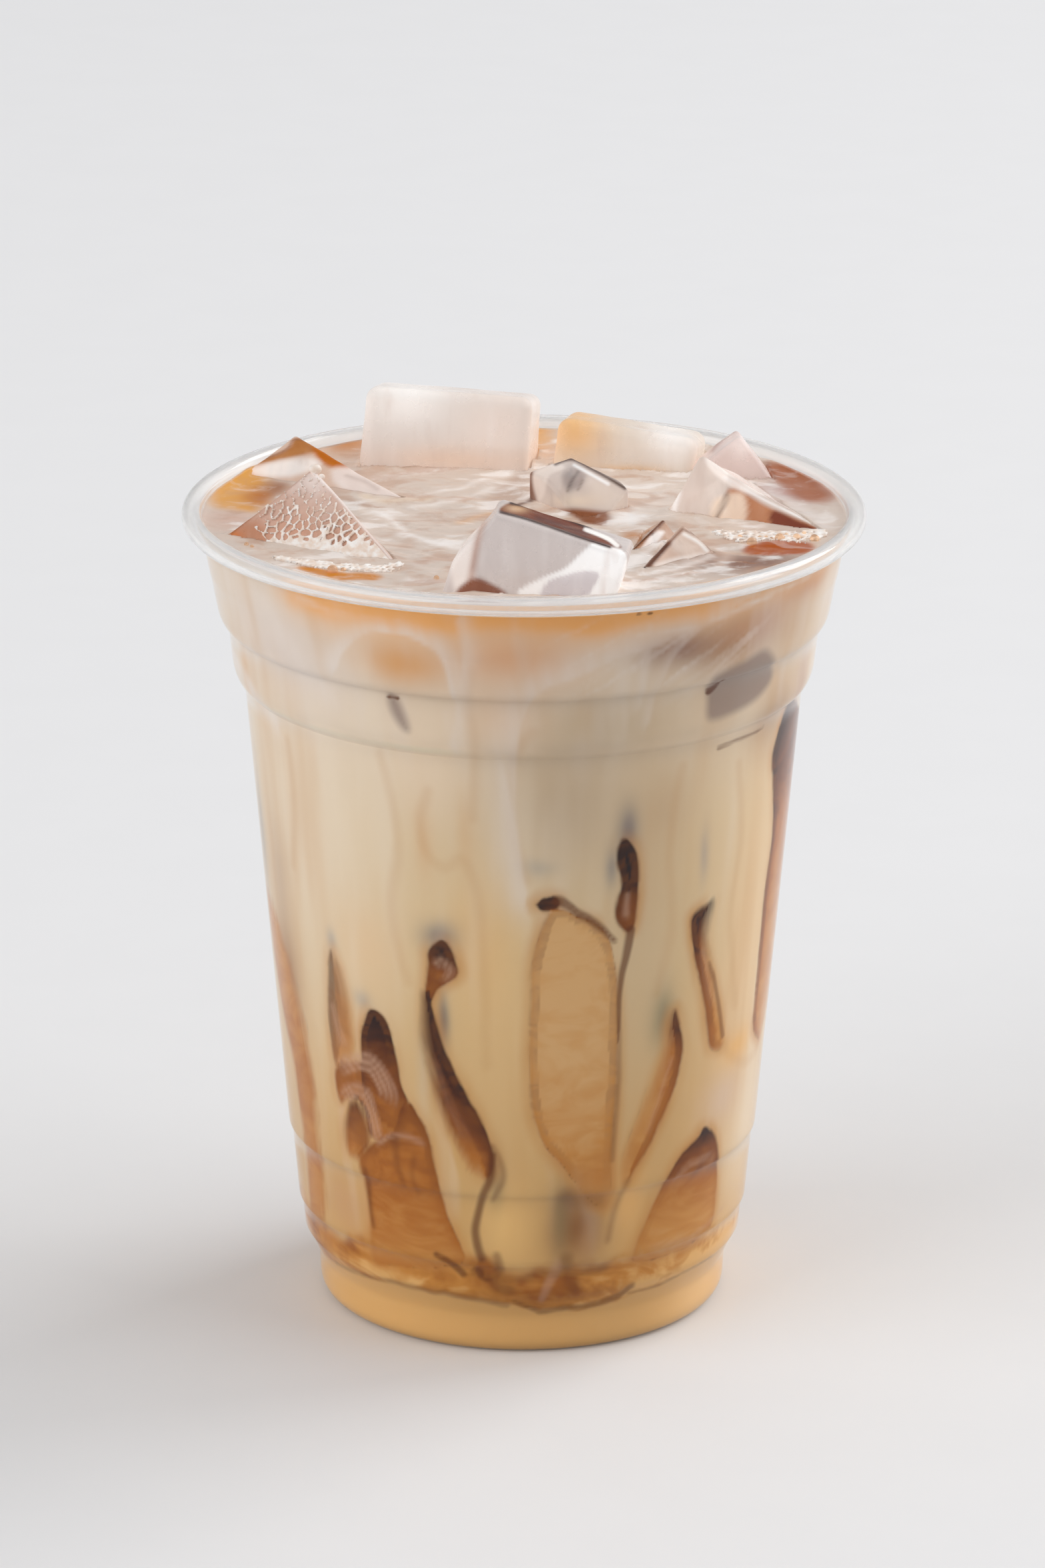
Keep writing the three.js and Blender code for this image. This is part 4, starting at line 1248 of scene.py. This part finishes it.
def milkCoffee():
    material, tree = newMaterial("milkCoffee")
    curls = cloud(tree, 230.0, 4.0, 0.55, 1.6, (1, 1, 0.25))
    rolls = cloud(tree, 110.0, 4.0, 0.5, 3.0, (0.7, 0.7, 1.3))
    colour = field(tree, "milk", "Color")
    colour = laid(tree, colour, "flow", 0.0, 1.0, 0.3, (216, 166, 102))
    colour = laid(tree, colour, "flow", 0.0, -1.0, 0.4, (248, 234, 214))
    colour = laid(tree, colour, "thread", 1.5, 0.0, 0.18, (206, 156, 100))
    colour = laid(tree, colour, "crema", 0.0, 1.0, 0.9, (252, 184, 100))
    # white wisps, and a painted highlight under the rim
    colour = mixed(tree, field(tree, "wispAndHighlight"), colour, srgb(246, 236, 228))
    colour = laid(tree, colour, "sunkIce", 0.9, -0.9, 0.8, (160, 138, 128))
    tone = sums(tree, "ADD", field(tree, "amberTone"), ranged(tree, rolls, 0.3, 0.7, -0.24, 0.24))
    stops = [(0.0, srgb(172, 100, 30)), (0.5, srgb(212, 146, 66)), (1.0, srgb(242, 194, 124))]
    amber = ranged(tree, field(tree, "amber"), 0.0, 1.0, 0.0, 0.95)
    colour = mixed(tree, amber, colour, ramp(tree, tone, stops))
    fringe = field(tree, "fringe")
    halo = sums(tree, "MULTIPLY", ranged(tree, fringe, 2.2, -0.2, 0.0, 0.7), field(tree, "halo"))
    colour = mixed(tree, halo, colour, srgb(210, 148, 76))
    tone = sums(tree, "ADD", field(tree, "tone"), ranged(tree, rolls, 0.28, 0.72, -0.05, 0.05))
    coffee = ramp(tree, tone, [
        (0.0, srgb(44, 32, 34)), (0.2, srgb(80, 42, 26)), (0.4, srgb(138, 76, 32)),
        (0.6, srgb(190, 118, 48)), (0.8, srgb(216, 155, 82)), (1.0, srgb(231, 188, 131))])
    edge = sums(tree, "ADD", field(tree, "coffee"), ranged(tree, curls, 0.3, 0.7, -0.25, 0.25))
    bare = ranged(tree, field(tree, "veil"), 0.0, 1.0, 1.0, 0.0)
    colour = mixed(tree, sums(tree, "MULTIPLY", ranged(tree, edge, -0.6, 0.8), bare), colour, coffee)
    broken = ranged(tree, rolls, 0.36, 0.62, 0.15, 0.75)
    rim = sums(tree, "MULTIPLY", ranged(tree, fringe, 0.6, -0.15), field(tree, "outline"))
    colour = mixed(tree, sums(tree, "MULTIPLY", rim, broken), colour, srgb(142, 82, 34))
    colour = mixed(tree, field(tree, "strand"), colour, srgb(214, 172, 142))
    brown = ranged(tree, field(tree, "brown"), 1.0, -0.3)
    line = sums(tree, "MULTIPLY", brown, field(tree, "brownStrength"))
    colour = mixed(tree, line, colour, srgb(112, 60, 28))
    opaque(tree, {"Base Color": colour, "Roughness": 0.4, "IOR": 1.35, "Specular IOR Level": 0.0})
    return material


def milkSurface():
    material, tree = newMaterial("milkSurface")
    fine = cloud(tree, 300.0, 4.0, 0.55, 1.0, (0.6, 0.8, 1))
    tone = sums(tree, "ADD", field(tree, "topStreak"), ranged(tree, fine, 0.3, 0.7, -0.25, 0.25))
    colour = field(tree, "paint", "Color")
    colour = mixed(tree, ranged(tree, tone, 0.05, 0.6, 0.0, 0.7), colour, srgb(252, 246, 242))
    colour = mixed(tree, ranged(tree, tone, -0.05, -0.6, 0.0, 0.5), colour, srgb(188, 144, 116))
    inputs = {
        "Base Color": colour,
        "Roughness": 0.14,
        "IOR": 1.35,
        "Specular IOR Level": 0.22,
        "Normal": bump(tree, fine, 0.2, 0.0003),
    }
    opaque(tree, inputs)
    return material


def evenly(path, step):
    # the same path in equal steps
    length = np.concatenate([[0], np.cumsum(np.linalg.norm(np.diff(path, axis=0), axis=1))])
    at = np.linspace(0, length[-1], int(length[-1] / step))
    return np.stack([np.interp(at, length, path[:, k]) for k in (0, 1)], -1)


def makeDrink():
    shape = drinkShape
    front = np.linspace(-90, 90, shape["frontColumns"], endpoint=False)
    back = np.linspace(90, 270, shape["backColumns"], endpoint=False)
    turns = np.radians(np.concatenate([front, back]))
    wall = offsetPath(refined(cupPath(), shape["pathStep"]), shape["inset"])
    wall = wall[: int(np.argmax(wall[:, 1] > shape["level"]))]
    footEnd = int(np.argmax(wall[:, 1] <= shape["footLevel"]))
    lower = wall[footEnd:][wall[footEnd:, 1] <= shape["seam"]]
    upper = wall[wall[:, 1] >= shape["seam"]]
    side = milkCoffee()

    rows = np.vstack([wall[: footEnd : shape["footSkip"]], evenly(lower, shape["rowStep"])])
    lid = [[rows[-1][0] * s, shape["seam"] + shape["overlap"]] for s in shape["lidRadii"]]
    verts, faces = turnedMesh(rows.tolist() + lid, turns)
    drink = addPiece("drink_lower", verts, faces, side, "milk_coffee")
    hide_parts("drink")
    for name, values in swirlFields(verts).items():
        setField(drink, name, values)

    rows = evenly(upper, shape["rowStep"])
    rows[0] = lower[-1]
    floor = [[rows[0][0] * s, shape["seam"] - shape["overlap"]] for s in shape["lidRadii"][::-1]]
    rim = rows[-1][0]
    rings = [[rim * s, shape["level"]] for s in np.linspace(1, 0, shape["rings"] + 1)[1:]]
    verts, faces = turnedMesh(floor + rows.tolist() + rings, turns)
    under = (len(floor) + len(rows) - 2) * len(turns)
    verts[1 + under :, 2] = topHeight(verts[1 + under :, 0], verts[1 + under :, 1], rim)
    drink = addPiece("drink_upper", verts, faces, side, "milk_coffee")
    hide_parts("drink")
    drink.data.materials.append(milkSurface())
    slots = np.zeros(len(drink.data.polygons), int)
    slots[under : -2 * len(turns)] = 1
    slots[-len(turns) :] = 1
    drink.data.polygons.foreach_set("material_index", slots.tolist())
    for name, values in {**swirlFields(verts), **topFields(verts)}.items():
        setField(drink, name, values)
    print("drink made:", len(turns), "columns")


makeDrink()


# foam: a lace on the front left lump, rafts on the drink, a few bubbles and drops

foamShape = {
    "step": 0.14,
    "cell": 1.25,
    "thick": 0.22,
    "under": 0.15,
    "leastWall": 0.02,
    "laceMargins": (0.6, 0.5),
    "laceFade": (116.5, 104),  # heights on the plane of the marks between which the web thickens
    "laceFoot": (107.5, 104.5),
    "laceLeft": (-38.2, -35.5),
    "laceLift": 0.02,
    "raftLift": 0.03,
    "raftMargin": 1,
    "raftReach": 4.0,
    "clearance": 0.3,
    "ballRows": 10,
    "ballColumns": 20,
    "bubbleLift": 0.2,
}
foamRafts = [  # outline as (x, y), width of a bubble, how thick its wall is
    {"outline": [(-36.4, -19), (-32.2, -21.3), (-26.6, -23.6), (-21, -24.8), (-17.1, -24.1),
     (-17.4, -27.4), (-22.8, -28.1), (-28.4, -26.2), (-34, -23)], "cell": 0.9, "wall": 0.3},
    {"outline": [(26, -6.9), (31.5, -7.2), (37.2, -6.8), (42.5, -6.7), (42.9, -9.4), (40.2, -12.9),
     (36, -12.9), (31.3, -12.3), (27.6, -11)], "cell": 1.1, "wall": 0.26},
]
foamBubbles = [  # x, y, radius
    (36.1, -11.2, 0.75), (38.5, -10.5, 0.6), (39.6, -8.5, 0.4), (41, -11.1, 0.7), (32.1, -12.6, 0.75),
    (33.3, -9.9, 0.3), (34.2, -10.5, 0.35), (34.9, -11.2, 0.3), (37.1, -8.8, 0.35), (30.5, -9.9, 0.35),
    (-26.6, -27.5, 0.8), (-25.1, -26.8, 0.4), (-39, -14.7, 0.35), (-38.2, -15.8, 0.3),
    (-12.1, -30.9, 0.4),
]
foamDrops = [  # centre, half sizes
    ((-29.5, -6.4, 125.3), (0.9, 0.7, 0.75)),
    ((-28.6, -7.2, 124.4), (0.5, 0.4, 0.45)),
]


def milkFoam():
    material, tree = newMaterial("milkFoam")
    froth = cloud(tree, 900.0)
    colour = mixed(tree, ranged(tree, froth, 0.35, 0.7), srgb(238, 218, 202), srgb(255, 251, 247))
    normal = bump(tree, froth, 0.3, 0.0002)
    opaque(tree, {"Base Color": colour, "Roughness": 0.45, "Normal": normal})
    return material


def bubbleFilm():
    material, tree = newMaterial("bubbleFilm")
    inputs = {
        "Base Color": srgb(236, 206, 176),
        "Roughness": ranged(tree, cloud(tree, 600.0), 0.3, 0.7, 0.02, 0.08),
        "IOR": 1.3,
        "Transmission Weight": 0.7,
    }
    seeThrough(tree, inputs, (0.9, 0.85, 0.8, 1.0))
    return material


def wallGap(points, cell, seed):
    # distance to the nearest wall between bubbles scattered on a plane
    draw = np.random.default_rng(seed)
    low, high = points.min(0) - cell, points.max(0) + cell
    columns, rows = np.ceil((high - low) / cell).astype(int)
    grid = np.stack(np.meshgrid(np.arange(columns), np.arange(rows)), -1).reshape(-1, 2)
    centres = low + cell * (grid + draw.uniform(0.08, 0.92, grid.shape))
    first, second = np.full(len(points), 1e9), np.full(len(points), 1e9)
    for centre in centres:
        away = np.hypot(*(points - centre).T)
        second = np.minimum(second, np.maximum(first, away))
        first = np.minimum(first, away)
    return 0.5 * (second - first)


def sheetMesh(top, bottom, cover):
    # a thin closed sheet over the cells of a grid that are covered
    rows, columns = cover.shape
    number = np.arange((rows + 1) * (columns + 1)).reshape(rows + 1, columns + 1)
    below = number.size
    faces = []
    corners = ((0, 0), (0, 1), (1, 1), (1, 0))
    beside = ((-1, 0), (0, 1), (1, 0), (0, -1))  # the cell beyond each edge
    for i, j in zip(*np.nonzero(cover)):
        ring = [int(number[i + a, j + b]) for a, b in corners]
        faces += [ring, [n + below for n in ring[::-1]]]
        for one, two, (di, dj) in zip(ring, ring[1:] + ring[:1], beside):
            ni, nj = i + di, j + dj
            if not (0 <= ni < rows and 0 <= nj < columns and cover[ni, nj]):
                faces.append([two, one, one + below, two + below])
    verts = np.vstack([top.reshape(-1, 3), bottom.reshape(-1, 3)])
    used = np.unique(np.concatenate([np.array(f) for f in faces]))
    renumber = np.zeros(len(verts), int)
    renumber[used] = np.arange(len(used))
    return verts[used], [[int(renumber[n]) for n in face] for face in faces]


def gridOver(low, high):
    return np.meshgrid(*(np.arange(low[k], high[k], foamShape["step"]) for k in (0, 1)))


def foamSheet(spot, out, lift, gap, wall, shown, shape):
    # walls that bulge out of a surface, over a grid of points on it
    bulge = np.clip(1 - (gap / np.maximum(wall, foamShape["leastWall"])) ** 2, 0, 1) ** 0.5
    top = spot + out * (lift + foamShape["thick"] * bulge)[:, None]
    bottom = spot - out * foamShape["under"]
    node = shown.reshape(shape)
    cover = node[:-1, :-1] & node[1:, 1:]
    return sheetMesh(top.reshape(*shape, 3), bottom.reshape(*shape, 3), cover)


def laceSheet():
    # thin threads at the apex, a thick web at the waterline, clear towards the left corner
    lump = next(item for item in iceLumps if item["name"] == "ice_front_left")
    half = np.array(lump["size"]) / 2
    first, last = foamShape["laceMargins"]
    across, up = gridOver(first - half, half - last)
    flat = np.stack([across.ravel(), up.ravel()], -1)
    local = np.column_stack([flat, np.full(len(flat), -half[2])])
    turn = turnOf(lump)
    spot = local @ turn.T + np.array(lump["centre"])
    u, v = seenPlane(spot).T
    drift = flatNoise(*flat.T, 3, 301)
    low = smoothStep(*foamShape["laceFade"], v)
    wall = 0.05 + 0.12 * low + 0.22 * np.maximum(drift, 0) * low
    wall += 0.4 * smoothStep(*foamShape["laceFoot"], v + drift)
    wall *= smoothStep(*foamShape["laceLeft"], u + 1.6 * drift)
    gap = wallGap(flat + 0.25 * np.stack([drift, -drift], -1), foamShape["cell"], 7)
    shown = (gap < wall) & (spot[:, 2] > drinkShape["level"] - foamShape["clearance"])
    return foamSheet(spot, -turn[:, 2], foamShape["laceLift"], gap, wall, shown, across.shape)


def raftSheet(raft, seed, rim):
    outline = np.array(raft["outline"], float)
    x, y = gridOver(outline.min(0) - foamShape["raftMargin"], outline.max(0) + foamShape["raftMargin"])
    flat = np.stack([x.ravel(), y.ravel()], -1)
    drift = flatNoise(*flat.T, 2, seed)
    edge = 0.7 * drift - planeField(curveThrough(outline, True), True, flat, foamShape["raftReach"])[0]
    gap = wallGap(flat, raft["cell"], seed)
    wall = raft["wall"] * (1 + 0.8 * drift) * smoothStep(0, 0.8, edge)
    spot = np.column_stack([flat, topHeight(*flat.T, rim)])
    shown = (gap < wall) & (edge > 0) & (np.hypot(*flat.T) < rim - foamShape["clearance"])
    return foamSheet(spot, np.array([0, 0, 1]), foamShape["raftLift"], gap, wall, shown, x.shape)


def ball(centre, radii):
    lift = np.linspace(-math.pi / 2, math.pi / 2, foamShape["ballRows"] + 1)
    profile = np.stack([np.cos(lift), np.sin(lift)], -1)
    turn = np.linspace(0, 2 * np.pi, foamShape["ballColumns"], endpoint=False)
    verts, faces = turnedMesh(profile.tolist(), turn)
    return verts * np.array(radii) + np.array(centre), faces


def joined(parts):
    verts, faces = [], []
    for partVerts, partFaces in parts:
        start = sum(len(v) for v in verts)
        verts.append(partVerts)
        faces += [[n + start for n in face] for face in partFaces]
    return np.vstack(verts), faces


def makeFoam():
    foam = milkFoam()
    rim = insideWall(drinkShape["level"])
    rafts = [raftSheet(raft, seed, rim) for seed, raft in enumerate(foamRafts, 311)]
    drops = [ball(*drop) for drop in foamDrops]
    level = topHeight(*np.array(foamBubbles)[:, :2].T, rim)
    lift = foamShape["bubbleLift"]
    bubbles = [ball((x, y, z + lift * r), (r, r, r)) for (x, y, r), z in zip(foamBubbles, level)]
    addPiece("foam_lace", *laceSheet(), foam, "milk_coffee")
    addPiece("foam_rafts", *joined(rafts), foam, "milk_coffee")
    addPiece("foam_drops", *joined(drops), foam, "milk_coffee")
    addPiece("foam_bubbles", *joined(bubbles), bubbleFilm(), "milk_coffee")
    print("foam made:", len(bubbles), "bubbles")


makeFoam()
